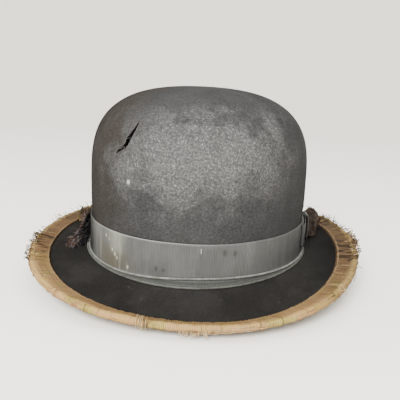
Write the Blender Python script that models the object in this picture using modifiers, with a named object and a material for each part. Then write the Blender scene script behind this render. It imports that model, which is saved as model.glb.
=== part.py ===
"""A worn bowler hat, made piece by piece in the way that a hatter builds one.

Metres, +Z up. The hat stands on its brim on the plane Z = 0. Its front faces -Y, and the bow of
its band is on the wearer's left, at +X. Angles run round the hat, from +X towards +Y, so the front
is at -90 degrees and the back at +90 degrees.
"""
import math

import bmesh
import bpy
from mathutils import Vector

# The head ovals and the crown. Heights are counted from the crease between crown and brim.
HEAD_OVAL = 1.21               # length of every oval over its width
CROWN_FOOT_HALF_WIDTH = 0.0851  # outer face of the felt, under the band
CROWN_HALF_WIDTH = 0.0859      # outer face of the felt at its widest
CROWN_WIDEST_HEIGHT = 0.0497
CROWN_HEIGHT = 0.1253
CROWN_RISE_POWER = 3.34        # the dome is a superellipse: this one makes its shoulder high
CROWN_ROUND_POWER = 2.54       # and this one rounds its top
FELT_THICKNESS = 0.0022
CREASE_HEIGHT = 0.01713        # height of the crease above the ground, at the sides
CREASE_DIP = 0.0022            # how much lower the crease lies at the front and the back
CREASE_RADIUS = 0.0025

# The brim, measured to the outside of its binding.
BRIM_HALF_WIDTH = 0.1264
BRIM_HALF_LENGTH = 0.1493
BRIM_SQUARENESS = 2.27         # power of the superellipse: 2 is an ellipse
EDGE_RISE_SIDE = 0.0081        # edge over the crease's side height, at the sides
EDGE_DROP_END = 0.0083         # edge under it, at the front and the back
EDGE_POWER_FRONT = 1.5         # how soon the edge comes down from the sides to the front
EDGE_POWER_BACK = 4.2          # and to the back
EDGE_LEAN = 0.0020             # the edge lies this much higher at +X and lower at -X
EDGE_TWIST = 0.0060            # how much the front edge sinks towards one side and rises at the other
EDGE_CURL_SIDE = 0.22          # slope of the bound strip, up towards the edge
EDGE_CURL_END = 0.38
TROUGH_SLOPE_SIDE = 0.04       # slope of the brim where the bound strip begins
TROUGH_SLOPE_END = 0.24
CREASE_SLOPE_SIDE = -0.10      # slope of the brim where it leaves the crown
CREASE_SLOPE_END = -0.50

# Ribbons, cords and threads.
GAP = 0.0003                   # clearance between touching pieces
RIBBON_THICKNESS = 0.0008
BAND_FOOT_HEIGHT = 0.0026
BAND_TOP_HEIGHT = 0.0258
BINDING_WIDTH = 0.0141
CORD_RADIUS = 0.0010
CORDS = {                      # height over the crease, and how far it stands off the band
    "lower": (0.0014, 0.0018),
    "upper": (0.0045, 0.0001),
}
THREAD_RADIUS = 0.0003
TACK_DROP = 0.0025             # from the band's top edge to the top of a tack
TACK_LENGTH = 0.0030
BINDING_STITCH_OUTSET = 0.0007  # stitch line from the binding's inner edge, on the felt

# The bow of the band, at the wearer's left.
BOW_LOOP_LENGTH = 0.030
BOW_LOOP_DEPTH = 0.0022
BOW_KNOT_HALF_LENGTH = 0.0065
BOW_HEM = 0.0012               # how far the loops stay below the band's top edge
BOW_FOOT_HEIGHT = 0.0075       # lower edge of the loops, over the crease
BOW_START = 0.0010             # half the space between the two loops
LOOP_THINNING = 0.75           # thickness of the pressed loops, as a share of the ribbon's
KNOT_FOOT_HEIGHT = 0.0070
KNOT_TOP_REACH = 0.0014        # how far the knot reaches over the band's top edge
KNOT_EASE = 0.0002             # room between the knot and the loops
KNOT_CROWN = 0.0004            # how much further the middle of the knot stands out

# The tear through the front left of the crown: angle, height over the crease, half width.
TEAR = [
    (-116.3, 0.0993, 0.0003),
    (-117.2, 0.0946, 0.0010),
    (-117.6, 0.0905, 0.0014),
    (-119.2, 0.0858, 0.0015),
    (-119.6, 0.0822, 0.0017),
    (-122.6, 0.0798, 0.0012),
    (-125.2, 0.0775, 0.0003),
]
TEAR_CUT_DEPTH = 0.006
TEAR_CUT_SLOPE = 0.25          # rise of the cut's direction, which follows the dome's

# Inside the hat.
SWEATBAND_THICKNESS = 0.0011
SWEATBAND_HEIGHT = 0.048
SWEATBAND_FOOT_HEIGHT = 0.0012
SWEATBAND_STITCH_HEIGHT = 0.0034
SWEATBAND_CLEARANCE = 0.0018   # room behind the leather, where the lining hangs down
REED_RADIUS = 0.0009
LINING_THICKNESS = 0.0005
LINING_HEM_HEIGHT = 0.033
LINING_INSET = 0.0034          # the lining's outer face from the felt's outer face
LINING_SEAM_TURN = 0.80        # where the side meets the tip, in radians of the dome's turn
LINING_SEAM_HALF_GAP = 0.006
LINING_SIDE_TURNS = (0.5, 0.3, 0.12, 0.0)  # rows of the side below the seam
LINING_TIP_TURNS = (1.35, 1.1)             # rows of the tip above it
PIPING_RADIUS = 0.0008
INNER_BOW_LOOP_LENGTH = 0.011
INNER_BOW_HEIGHT = 0.006       # width of its ribbon
INNER_BOW_DEPTH = 0.0013       # half the thickness of its loops
INNER_BOW_WAIST = 0.45         # thickness at the knot, as a share of the loops'
INNER_BOW_BEND = 3.0           # its ends come forward by this times their distance squared
INNER_BOW_LIFT = 0.010         # its middle over the crease
INNER_BOW_OFF = 0.0024         # its middle from the leather's face
INNER_RIBBON_THICKNESS = 0.0003
INNER_KNOT_HALF_LENGTH = 0.0018
INNER_KNOT_DEPTH = 0.0018      # half its thickness
INNER_KNOT_REACH = 0.0013      # how far it goes over the ribbon's edges

# Smoothness of the model.
STEPS_ROUND = 60               # facets round the hat, the same for all its rings
DOME_STEPS = 9                 # rows from the top of the dome to its widest
DOME_SPACING = 0.8             # a power below 1 brings those rows closer at the top
SLOPE_STEP = 0.0002            # the run over which the brim's slope is measured
INNER_BOW_STEPS = 24
INNER_KNOT_STEPS = 12
BACK = math.radians(90)
LEFT = 0.0                     # the wearer's left

COLLECTION = "bowler_hat"
CUTTERS = "cutters"

# Base colour, roughness and metallic value of each material.
FINISHES = {
    "felt": ((0.085, 0.083, 0.080), 0.92, 0.0),
    "band": ((0.17, 0.17, 0.16), 0.72, 0.0),
    "binding": ((0.44, 0.30, 0.17), 0.70, 0.0),
    "thread": ((0.50, 0.40, 0.27), 0.80, 0.0),
    "leather": ((0.20, 0.10, 0.05), 0.50, 0.0),
    "reed": ((0.06, 0.04, 0.03), 0.55, 0.0),
    "satin": ((0.10, 0.09, 0.10), 0.35, 0.0),
}


# Tools for making solids -----------------------------------------------------------------------

def clear_scene():
    """Remove everything that a new file holds, and make the two collections."""
    for item in list(bpy.data.objects):
        bpy.data.objects.remove(item, do_unlink=True)
    for name in (COLLECTION, CUTTERS):
        group = bpy.data.collections.new(name)
        bpy.context.scene.collection.children.link(group)


def material(name):
    """The named finish as a material, made once."""
    if name in bpy.data.materials:
        return bpy.data.materials[name]
    colour, roughness, metallic = FINISHES[name]
    finish = bpy.data.materials.new(name)
    finish.use_nodes = True
    shader = finish.node_tree.nodes["Principled BSDF"]
    shader.inputs["Base Color"].default_value = (*colour, 1.0)
    shader.inputs["Roughness"].default_value = roughness
    shader.inputs["Metallic"].default_value = metallic
    return finish


def add_object(name, data, finish, collection=COLLECTION):
    """Put mesh or curve data in the scene under a name, with its own material."""
    piece = bpy.data.objects.new(name, data)
    bpy.data.collections[collection].objects.link(piece)
    if finish:
        own = material(finish).copy()
        own.name = f"{name}_{finish}"
        data.materials.append(own)
    return piece


def loft(name, rows, closed=True, apex=None):
    """Skin rows of points: each row joins the next, and apex closes the first row to a point."""
    mesh = bpy.data.meshes.new(name)
    bm = bmesh.new()
    grid = [[bm.verts.new(point) for point in row] for row in rows]
    count = len(rows[0])
    last = count if closed else count - 1
    for upper, lower in zip(grid, grid[1:]):
        for i in range(last):
            j = (i + 1) % count
            bm.faces.new((upper[i], lower[i], lower[j], upper[j]))
    if apex is not None:
        tip = bm.verts.new(apex)
        for i in range(last):
            bm.faces.new((tip, grid[0][i], grid[0][(i + 1) % count]))
    bm.to_mesh(mesh)
    bm.free()
    mesh.shade_smooth()
    return mesh


def thicken(piece, thickness):
    """Give an open surface its thickness, on the side that its faces turn away from."""
    solidify = piece.modifiers.new("thickness", "SOLIDIFY")
    solidify.thickness = thickness
    solidify.offset = -1.0
    solidify.use_even_offset = True
    return solidify


def sheet(name, rows, thickness, finish, closed=True, apex=None):
    """A solid sheet: a lofted outer face with thickness behind it."""
    piece = add_object(name, loft(name, rows, closed, apex), finish)
    thicken(piece, thickness)
    return piece


def strand(name, points, radius, finish, cyclic=True, bevel_resolution=1):
    """A cord or thread of round section through the points."""
    curve = bpy.data.curves.new(name, "CURVE")
    curve.dimensions = "3D"
    curve.bevel_depth = radius
    curve.bevel_resolution = bevel_resolution
    curve.use_fill_caps = True
    spline = curve.splines.new("POLY")
    spline.points.add(len(points) - 1)
    for slot, point in zip(spline.points, points):
        slot.co = (*point, 1.0)
    spline.use_cyclic_u = cyclic
    return add_object(name, curve, finish)


def turns(steps):
    """Equal steps of a whole turn, against the clock seen from above."""
    return [2 * math.pi * i / steps for i in range(steps)]


def ring(point_at):
    """The points that point_at(angle) gives all round the hat."""
    return [point_at(angle) for angle in turns(STEPS_ROUND)]


# Where the felt is -----------------------------------------------------------------------------

def oval(angle, half_width, z):
    """A point of a head oval."""
    return Vector((half_width * math.cos(angle), HEAD_OVAL * half_width * math.sin(angle), z))


def crease_z(angle):
    """Height of the crease above the ground."""
    return CREASE_HEIGHT - CREASE_DIP * math.sin(angle) ** 2


def wall_half_width(height):
    """Half width of the felt's outer face, for a height over the crease."""
    if height <= CROWN_WIDEST_HEIGHT:
        share = max(0.0, height - BAND_TOP_HEIGHT) / (CROWN_WIDEST_HEIGHT - BAND_TOP_HEIGHT)
        swell = math.sin(0.5 * math.pi * share)
        return CROWN_FOOT_HALF_WIDTH + (CROWN_HALF_WIDTH - CROWN_FOOT_HALF_WIDTH) * swell
    share = (height - CROWN_WIDEST_HEIGHT) / (CROWN_HEIGHT - CROWN_WIDEST_HEIGHT)
    turn = math.asin(min(1.0, share) ** (CROWN_RISE_POWER / 2))
    return CROWN_HALF_WIDTH * math.cos(turn) ** (2 / CROWN_ROUND_POWER)


def wall_point(angle, height, outward=0.0):
    """A point near the crown wall, outward from the felt's outer face."""
    fade = 1.0 - min(1.0, max(0.0, height / CROWN_WIDEST_HEIGHT))
    z = CREASE_HEIGHT + height - CREASE_DIP * math.sin(angle) ** 2 * fade
    return oval(angle, wall_half_width(height) + outward, z)


def brim_edge(angle):
    """The outermost line of the bound brim."""
    across, along = math.cos(angle), math.sin(angle)
    power = BRIM_SQUARENESS
    reach = (abs(across) ** power + abs(along) ** power) ** (-1 / power)
    fall = EDGE_POWER_FRONT if along < 0 else EDGE_POWER_BACK
    z = CREASE_HEIGHT + EDGE_RISE_SIDE + EDGE_LEAN * across
    z -= (EDGE_RISE_SIDE + EDGE_DROP_END) * abs(along) ** fall
    z -= EDGE_TWIST * across * max(0.0, -along) ** 2
    return Vector((BRIM_HALF_WIDTH * reach * across, BRIM_HALF_LENGTH * reach * along, z))


def edge_curl(angle):
    """Mean slope of the bound strip of the brim, up towards the edge."""
    return EDGE_CURL_SIDE + (EDGE_CURL_END - EDGE_CURL_SIDE) * math.sin(angle) ** 2


def hermite(share, length, start, start_slope, end, end_slope):
    """Height on the cubic between two points with given slopes."""
    a = 1 - share
    return (start * a * a * (1 + 2 * share) + end * share * share * (3 - 2 * share)
            + length * (start_slope * share * a * a - end_slope * share * share * a))


def brim_start(angle):
    """Where the flat of the brim begins, at the end of the crease's curve."""
    return oval(angle, CROWN_FOOT_HALF_WIDTH + CREASE_RADIUS, crease_z(angle))


def brim_point(angle, from_edge, outward=0.0):
    """A point near the brim's upper face: its distance from the edge, and up from the felt."""
    start, end = brim_start(angle), brim_edge(angle)
    plan = Vector((end.x - start.x, end.y - start.y, 0))
    width = plan.length
    plan.normalize()
    trough_width = width - BINDING_WIDTH
    trough_z = end.z - BINDING_WIDTH * edge_curl(angle)
    crease_slope = CREASE_SLOPE_SIDE
    crease_slope += (CREASE_SLOPE_END - CREASE_SLOPE_SIDE) * math.sin(angle) ** 2
    trough_slope = TROUGH_SLOPE_SIDE + (TROUGH_SLOPE_END - TROUGH_SLOPE_SIDE) * math.sin(angle) ** 2
    edge_slope = 2 * edge_curl(angle) - trough_slope

    def height(run):
        if run < trough_width:
            share = run / trough_width
            return hermite(share, trough_width, start.z, crease_slope, trough_z, trough_slope)
        share = (run - trough_width) / BINDING_WIDTH
        return hermite(share, BINDING_WIDTH, trough_z, trough_slope, end.z, edge_slope)

    run = width - from_edge
    slope = (height(run + SLOPE_STEP) - height(run - SLOPE_STEP)) / (2 * SLOPE_STEP)
    normal = (Vector((0, 0, 1)) - slope * plan).normalized()
    flat = start + plan * run
    return Vector((flat.x, flat.y, height(run))) + normal * outward


def crease_point(angle, share):
    """A point on the hollow curve from the wall, at share 0, to the brim, at share 1."""
    turn = 0.5 * math.pi * share
    half_width = CROWN_FOOT_HALF_WIDTH + CREASE_RADIUS * (1 - math.cos(turn))
    return oval(angle, half_width, crease_z(angle) + CREASE_RADIUS * (1 - math.sin(turn)))


# The felt --------------------------------------------------------------------------------------

def tear_cutter():
    """A thin zigzag wedge that cuts the tear through the crown wall."""
    middle = [wall_point(math.radians(angle), height) for angle, height, _ in TEAR]
    rows = []
    for outward in (TEAR_CUT_DEPTH, -TEAR_CUT_DEPTH):
        near, far = [], []
        for i, (angle, height, half_width) in enumerate(TEAR):
            along = (middle[min(i + 1, len(TEAR) - 1)] - middle[max(i - 1, 0)]).normalized()
            turn = math.radians(angle)
            out = Vector((math.cos(turn), math.sin(turn), TEAR_CUT_SLOPE))
            out.normalize()
            side = along.cross(out).normalized() * half_width
            centre = middle[i] + out * outward
            near.append(centre + side)
            far.append(centre - side)
        rows.append(near + far[::-1])
    mesh = bpy.data.meshes.new("tear_cutter")
    bm = bmesh.new()
    outer, inner = [[bm.verts.new(point) for point in row] for row in rows]
    count = len(outer)
    half = count // 2
    for i in range(count):
        j = (i + 1) % count
        bm.faces.new((outer[i], inner[i], inner[j], outer[j]))
    for i in range(half - 1):
        j = count - 1 - i
        bm.faces.new((outer[i], outer[i + 1], outer[j - 1], outer[j]))
        bm.faces.new((inner[i], inner[j], inner[j - 1], inner[i + 1]))
    bmesh.ops.recalc_face_normals(bm, faces=bm.faces)
    bm.to_mesh(mesh)
    bm.free()
    cutter = add_object("tear_cutter", mesh, None, CUTTERS)
    cutter.hide_render = True
    cutter.display_type = "WIRE"
    return cutter


def felt_body():
    """Crown and brim, blocked from one piece of stiff felt."""
    rows = []
    for i in range(1, DOME_STEPS + 1):
        turn = 0.5 * math.pi * (1 - (i / DOME_STEPS) ** DOME_SPACING)
        rise = math.sin(turn) ** (2 / CROWN_RISE_POWER)
        height = CROWN_WIDEST_HEIGHT + (CROWN_HEIGHT - CROWN_WIDEST_HEIGHT) * rise
        rows.append(ring(lambda angle: wall_point(angle, height)))
    for height in (0.5 * (CROWN_WIDEST_HEIGHT + BAND_TOP_HEIGHT), BAND_TOP_HEIGHT):
        rows.append(ring(lambda angle: wall_point(angle, height)))
    for share in (0.0, 0.4, 0.75):
        rows.append(ring(lambda angle: crease_point(angle, share)))
    fold = fold_radius()
    for share in (1.0, 0.75, 0.5, 0.25, 0.0):
        rows.append(ring(lambda angle: brim_row_point(angle, share, BINDING_WIDTH)))
    for from_edge in (0.5 * BINDING_WIDTH, fold):
        rows.append(ring(lambda angle: brim_point(angle, from_edge)))
    apex = Vector((0, 0, CREASE_HEIGHT + CROWN_HEIGHT))
    felt = sheet("felt_body", rows, FELT_THICKNESS, "felt", apex=apex)
    cut = felt.modifiers.new("tear", "BOOLEAN")
    cut.operation = "DIFFERENCE"
    cut.solver = "EXACT"
    cut.object = tear_cutter()
    return felt


def brim_row_point(angle, share, inner_inset):
    """A brim point between the crease, at share 1, and inner_inset from the edge, at share 0."""
    start, end = brim_start(angle), brim_edge(angle)
    width = Vector((end.x - start.x, end.y - start.y, 0)).length
    return brim_point(angle, inner_inset + (width - inner_inset) * share)


# The brim's binding ----------------------------------------------------------------------------

def fold_radius():
    """Radius of the outside of the binding, where it turns round the edge of the felt."""
    return 0.5 * FELT_THICKNESS + GAP + RIBBON_THICKNESS


def binding_point(angle, station):
    """A point of the binding's outer face, from station 0 inside on top to 1 inside below."""
    lay = GAP + RIBBON_THICKNESS
    fold = fold_radius()
    if station < 0.4:
        from_edge = BINDING_WIDTH + (fold - BINDING_WIDTH) * station / 0.4
        return brim_point(angle, from_edge, lay)
    if station > 0.6:
        from_edge = fold + (BINDING_WIDTH - fold) * (station - 0.6) / 0.4
        return brim_point(angle, from_edge, -FELT_THICKNESS - lay)
    turn = math.pi * (station - 0.4) / 0.2
    centre = brim_point(angle, fold, -0.5 * FELT_THICKNESS)
    up = (brim_point(angle, fold, 1.0) - brim_point(angle, fold, 0.0)).normalized()
    end, start = brim_edge(angle), brim_start(angle)
    plan = Vector((end.x - start.x, end.y - start.y, 0)).normalized()
    out = (plan - up * plan.dot(up)).normalized()
    return centre + fold * (out * math.sin(turn) + up * math.cos(turn))


def brim_binding():
    """The ribbon that is folded over the edge of the brim and sewn through it."""
    stations = (0.0, 0.2, 0.4, 0.45, 0.5, 0.55, 0.6, 0.8, 1.0)
    rows = [ring(lambda angle: binding_point(angle, station)) for station in stations]
    return sheet("brim_binding", rows, RIBBON_THICKNESS, "binding")


def binding_stitching():
    """The threads that hold the binding's inner edges, above and below the brim."""
    from_edge = BINDING_WIDTH + BINDING_STITCH_OUTSET
    lift = GAP + THREAD_RADIUS
    for name, outward in (("upper", lift), ("lower", -FELT_THICKNESS - lift)):
        points = ring(lambda angle: brim_point(angle, from_edge, outward))
        strand(f"binding_stitching_{name}", points, THREAD_RADIUS, "thread", bevel_resolution=0)


# The band and its bow --------------------------------------------------------------------------

def hatband():
    """The ribbed ribbon round the foot of the crown."""
    outward = GAP + RIBBON_THICKNESS
    rows = [ring(lambda angle: wall_point(angle, height, outward))
            for height in (BAND_TOP_HEIGHT, BAND_FOOT_HEIGHT)]
    return sheet("hatband", rows, RIBBON_THICKNESS, "band")


def band_cords():
    """The two cords that finish the foot of the band, one in the crease and one above it."""
    lay = RIBBON_THICKNESS + 2 * GAP + CORD_RADIUS
    for name, (height, off_band) in CORDS.items():
        points = ring(lambda angle: wall_point(angle, height, lay + off_band))
        strand(f"band_cord_{name}", points, CORD_RADIUS, "band")


def band_tack(name, angle):
    """A short stitch that tacks the band's top edge to the felt."""
    outward = 2 * GAP + RIBBON_THICKNESS + THREAD_RADIUS
    top = BAND_TOP_HEIGHT - TACK_DROP
    points = [wall_point(angle, top - share * TACK_LENGTH, outward) for share in (1.0, 0.5, 0.0)]
    strand(name, points, THREAD_RADIUS, "thread", cyclic=False, bevel_resolution=1)


def along_band(distance, height, outward):
    """A point beside the bow: its distance round the crown from the bow's middle."""
    angle = LEFT + distance / (HEAD_OVAL * CROWN_FOOT_HALF_WIDTH)
    return wall_point(angle, height, outward)


def ribbon_loop_path(length, depth, thickness):
    """Distance and outward pairs of a flat loop's outer face, out along the hat and back."""
    path = [(0.0, 0.0), (0.5 * length, 0.0)]
    turn_radius = 0.5 * depth
    for i in range(5):
        turn = math.pi * i / 4
        distance = length - turn_radius + turn_radius * math.sin(turn)
        path.append((distance, turn_radius * (1 - math.cos(turn))))
    path += [(0.5 * length, depth + 0.2 * thickness), (0.0, depth)]
    return path


def bow_loop(name, side):
    """One flat loop of the band's bow. side is 1 towards the back and -1 towards the front."""
    base = GAP * 2 + RIBBON_THICKNESS
    path = ribbon_loop_path(BOW_LOOP_LENGTH, BOW_LOOP_DEPTH, RIBBON_THICKNESS)
    rows = []
    for height in (BAND_TOP_HEIGHT - BOW_HEM, BOW_FOOT_HEIGHT):
        rows.append([along_band(side * (BOW_START + distance), height, base + outward)
                     for distance, outward in path])
    if side > 0:
        rows = rows[::-1]
    return sheet(name, rows, RIBBON_THICKNESS * LOOP_THINNING, "band", closed=False)


def bow_knot():
    """The strip that is wrapped over the middle of the bow."""
    inner = GAP * 3 + RIBBON_THICKNESS + BOW_LOOP_DEPTH + RIBBON_THICKNESS + KNOT_EASE
    middle_height = 0.5 * (BAND_TOP_HEIGHT + KNOT_FOOT_HEIGHT)
    path = [
        (BAND_TOP_HEIGHT, GAP + 2 * RIBBON_THICKNESS),
        (BAND_TOP_HEIGHT + KNOT_TOP_REACH, 0.6 * inner),
        (BAND_TOP_HEIGHT, inner),
        (middle_height, inner + KNOT_CROWN),
        (KNOT_FOOT_HEIGHT, inner),
    ]
    rows = []
    for height, outward in path:
        rows.append([along_band(share * BOW_KNOT_HALF_LENGTH, height, outward + RIBBON_THICKNESS)
                     for share in (-1.0, -0.33, 0.33, 1.0)])
    return sheet("bow_knot", rows, RIBBON_THICKNESS, "band", closed=False)


# The inside ------------------------------------------------------------------------------------

def sweatband():
    """The leather band that touches the head."""
    outward = -FELT_THICKNESS - SWEATBAND_CLEARANCE
    rows = [ring(lambda angle: oval(angle, CROWN_FOOT_HALF_WIDTH + outward,
                                    crease_z(angle) + height))
            for height in (SWEATBAND_HEIGHT, SWEATBAND_FOOT_HEIGHT)]
    return sheet("sweatband", rows, SWEATBAND_THICKNESS, "leather")


def sweatband_reed():
    """The covered reed at the leather's foot, which is sewn to the felt at the crease."""
    outward = -FELT_THICKNESS - SWEATBAND_CLEARANCE - 0.5 * SWEATBAND_THICKNESS
    drop = SWEATBAND_FOOT_HEIGHT - GAP - REED_RADIUS
    points = ring(lambda angle: oval(angle, CROWN_FOOT_HALF_WIDTH + outward,
                                     crease_z(angle) + drop))
    return strand("sweatband_reed", points, REED_RADIUS, "reed")


def sweatband_stitching():
    """The row of stitches above the leather's foot."""
    outward = -FELT_THICKNESS - SWEATBAND_CLEARANCE - SWEATBAND_THICKNESS - GAP - THREAD_RADIUS
    points = ring(lambda angle: oval(angle, CROWN_FOOT_HALF_WIDTH + outward,
                                     crease_z(angle) + SWEATBAND_STITCH_HEIGHT))
    return strand("sweatband_stitching", points, THREAD_RADIUS, "thread", bevel_resolution=0)


def sweatband_bow():
    """The small bow at the leather's back seam: its loops in one ribbon, and its knot."""
    face = HEAD_OVAL * (CROWN_FOOT_HALF_WIDTH - FELT_THICKNESS - SWEATBAND_CLEARANCE)
    face -= SWEATBAND_THICKNESS * HEAD_OVAL
    middle_y = face - INNER_BOW_OFF
    middle_z = crease_z(BACK) + INNER_BOW_LIFT
    rows = []
    for z in (middle_z + 0.5 * INNER_BOW_HEIGHT, middle_z - 0.5 * INNER_BOW_HEIGHT):
        row = []
        for turn in turns(INNER_BOW_STEPS):
            x = INNER_BOW_LOOP_LENGTH * math.cos(turn)
            waist = INNER_BOW_WAIST + (1 - INNER_BOW_WAIST) * math.cos(turn) ** 2
            y = middle_y - INNER_BOW_BEND * x * x + INNER_BOW_DEPTH * waist * math.sin(turn)
            row.append(Vector((x, y, z)))
        rows.append(row)
    sheet("sweatband_bow_loops", rows, INNER_RIBBON_THICKNESS, "reed")
    knot_rows = []
    half_height = 0.5 * INNER_BOW_HEIGHT + INNER_KNOT_REACH
    for x in (INNER_KNOT_HALF_LENGTH, -INNER_KNOT_HALF_LENGTH):
        row = []
        for turn in turns(INNER_KNOT_STEPS):
            y = middle_y - INNER_KNOT_DEPTH * math.sin(turn)
            row.append(Vector((x, y, middle_z + half_height * math.cos(turn))))
        knot_rows.append(row)
    sheet("sweatband_bow_knot", knot_rows, INNER_RIBBON_THICKNESS, "reed")


def inside_dome(angle, turn, inset):
    """A point inside the dome: turn is 0 where it is widest and a right angle at its top."""
    half_width = (CROWN_HALF_WIDTH - inset) * math.cos(turn) ** (2 / CROWN_ROUND_POWER)
    rise = CROWN_HEIGHT - CROWN_WIDEST_HEIGHT - inset
    rise *= math.sin(turn) ** (2 / CROWN_RISE_POWER)
    return oval(angle, half_width, CREASE_HEIGHT + CROWN_WIDEST_HEIGHT + rise)


def lining():
    """The satin lining: the side strip, the oval tip, and the cord in the seam between them."""
    side_turns = (LINING_SEAM_TURN - LINING_SEAM_HALF_GAP, *LINING_SIDE_TURNS)
    rows = [ring(lambda angle: inside_dome(angle, turn, LINING_INSET)) for turn in side_turns]
    hem_half_width = CROWN_FOOT_HALF_WIDTH - LINING_INSET + LINING_THICKNESS
    rows.append(ring(lambda angle: oval(angle, hem_half_width,
                                        crease_z(angle) + LINING_HEM_HEIGHT)))
    sheet("lining_side", rows, LINING_THICKNESS, "satin")

    tip_turns = (*LINING_TIP_TURNS, LINING_SEAM_TURN + LINING_SEAM_HALF_GAP)
    rows = [ring(lambda angle: inside_dome(angle, turn, LINING_INSET)) for turn in tip_turns]
    apex = inside_dome(0.0, 0.5 * math.pi, LINING_INSET)
    sheet("lining_tip", rows, LINING_THICKNESS, "satin", apex=Vector((0, 0, apex.z)))

    inset = LINING_INSET + LINING_THICKNESS + 2 * GAP + PIPING_RADIUS
    points = ring(lambda angle: inside_dome(angle, LINING_SEAM_TURN, inset))
    strand("lining_seam_cord", points, PIPING_RADIUS, "satin")


def build():
    """Make every piece of the hat."""
    clear_scene()
    felt_body()
    brim_binding()
    binding_stitching()
    hatband()
    band_cords()
    band_tack("band_tack_front", math.radians(-82))
    band_tack("band_tack_right", math.radians(180))
    band_tack("band_tack_back", BACK)
    bow_loop("bow_loop_front", -1)
    bow_loop("bow_loop_back", 1)
    bow_knot()
    sweatband()
    sweatband_reed()
    sweatband_stitching()
    sweatband_bow()
    lining()


build()
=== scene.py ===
"""The looks of a worn bowler hat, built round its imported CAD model.

Metres, +Z up, in the model's own frame: the hat stands on its brim on Z = 0, its front faces -Y and
the bow of its band is at +X. Angles run round the hat from +X towards +Y: the front is at -90
degrees. Along means metres along a ribbon, and across means metres over its width.
"""
import math

import bpy
import numpy as np
from mathutils import Matrix, Vector, noise


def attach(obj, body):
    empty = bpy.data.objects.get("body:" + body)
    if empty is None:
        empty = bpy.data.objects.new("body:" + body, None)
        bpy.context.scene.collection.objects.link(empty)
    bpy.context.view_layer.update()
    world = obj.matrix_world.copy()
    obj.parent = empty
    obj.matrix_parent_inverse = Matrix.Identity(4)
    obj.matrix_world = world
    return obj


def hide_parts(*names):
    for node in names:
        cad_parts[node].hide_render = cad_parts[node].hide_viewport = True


# The hat's driving dimensions, as in its CAD source.
HEAD_OVAL = 1.21
CROWN_FOOT_HALF_WIDTH = 0.0851
CROWN_HALF_WIDTH = 0.0859
CROWN_WIDEST_HEIGHT = 0.0497
CROWN_HEIGHT = 0.1253
CROWN_RISE_POWER = 3.34
CROWN_ROUND_POWER = 2.54
FELT_THICKNESS = 0.0022
CREASE_HEIGHT = 0.01713
CREASE_DIP = 0.0022
CREASE_RADIUS = 0.0025
BRIM_HALF_WIDTH = 0.1264
BRIM_HALF_LENGTH = 0.1493
BRIM_SQUARENESS = 2.27
EDGE_RISE_SIDE = 0.0081
EDGE_DROP_END = 0.0083
EDGE_POWER_FRONT = 1.5
EDGE_POWER_BACK = 4.2
EDGE_LEAN = 0.0020
EDGE_TWIST = 0.0060
EDGE_CURL_SIDE = 0.22
EDGE_CURL_END = 0.38
TROUGH_SLOPE_SIDE = 0.04
TROUGH_SLOPE_END = 0.24
CREASE_SLOPE_SIDE = -0.10
CREASE_SLOPE_END = -0.50
GAP = 0.0003
RIBBON_THICKNESS = 0.0008
BAND_FOOT_HEIGHT = 0.0026
BAND_TOP_HEIGHT = 0.0258
BINDING_WIDTH = 0.0141
THREAD_RADIUS = 0.0003
FOLD_RADIUS = 0.5 * FELT_THICKNESS + GAP + RIBBON_THICKNESS
LOOSE_THREAD_RADIUS = 0.00016
FOOT_CORD_RADIUS = 0.0008      # as the worn cords look, thinner than new ones
BOW_LOOP_LENGTH = 0.030
BOW_LOOP_DEPTH = 0.0022
BOW_KNOT_HALF_LENGTH = 0.0065
BOW_HEM = 0.0012
BOW_FOOT_HEIGHT = 0.0075
BOW_START = 0.0010
KNOT_FOOT_HEIGHT = 0.0070
SWEATBAND_THICKNESS = 0.0011
SWEATBAND_HEIGHT = 0.048
SWEATBAND_FOOT_HEIGHT = 0.0012
SWEATBAND_STITCH_HEIGHT = 0.0034
SWEATBAND_CLEARANCE = 0.0018
SWEATBAND_HALF_WIDTH = CROWN_FOOT_HALF_WIDTH - FELT_THICKNESS - SWEATBAND_CLEARANCE
REED_RADIUS = 0.0009
LINING_THICKNESS = 0.0005
LINING_INSET = 0.0034
PIPING_RADIUS = 0.0008
INNER_BOW_LOOP_LENGTH = 0.011
INNER_BOW_HEIGHT = 0.006
INNER_BOW_DEPTH = 0.0013
INNER_BOW_WAIST = 0.45
INNER_BOW_BEND = 3.0
INNER_BOW_LIFT = 0.010
INNER_BOW_OFF = 0.0024
INNER_BOW_KNOT_DEPTH = 0.0018
BAND_LENGTH = 0.594            # round the foot of the crown
EDGE_LENGTH = 0.870            # round the edge of the brim
LINING_HEM_HEIGHT = 0.033
LINING_PLEATS = 48
PIPING_TURN = 0.80             # up the dome, in radians
RIB_PITCH = 0.0011
RIB_DEPTH = 0.00004
FOOT_CORD_PITCH = 0.0042
REED_PITCH = 0.009
PIPING_PITCH = 0.004
BINDING_STITCHES = 290
SWEATBAND_STITCHES = 190
THIN_RIBBON_THICKNESS = 0.0003

# How finely the felt and the ribbons are divided.
FELT_COLUMN_STEP = 0.75        # in degrees
FELT_ROW_STEP = 0.0011
TEAR_COLUMNS = (-130, -110, 0.2)
TEAR_ROWS = (0.070, 0.100)
TEAR_ROW_DENSITY = 2.2
RIBBON_COLUMNS = 2880

# Painted highlight spots and dark marks on the band's worn stretch: metres along it from the bow, metres over
# the crease, and size.
BAND_WORN_PLACE = 0.386
BAND_LIT_EDGE_PLACE = 0.415
BAND_HIGHLIGHT_SPOTS = [
    (0.3785, 0.0209, 0.0013),
    (0.3828, 0.0191, 0.0009),
    (0.3866, 0.0130, 0.0014),
    (0.3897, 0.0106, 0.0016),
    (0.3920, 0.0086, 0.0014),
    (0.4031, 0.0050, 0.0013),
]
BAND_DARK_MARKS = [
    (0.4270, 0.0084, 0.0022),
    (0.4325, 0.0080, 0.0016),
    (0.4755, 0.0204, 0.0030),
    (0.4830, 0.0195, 0.0024),
]

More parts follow.
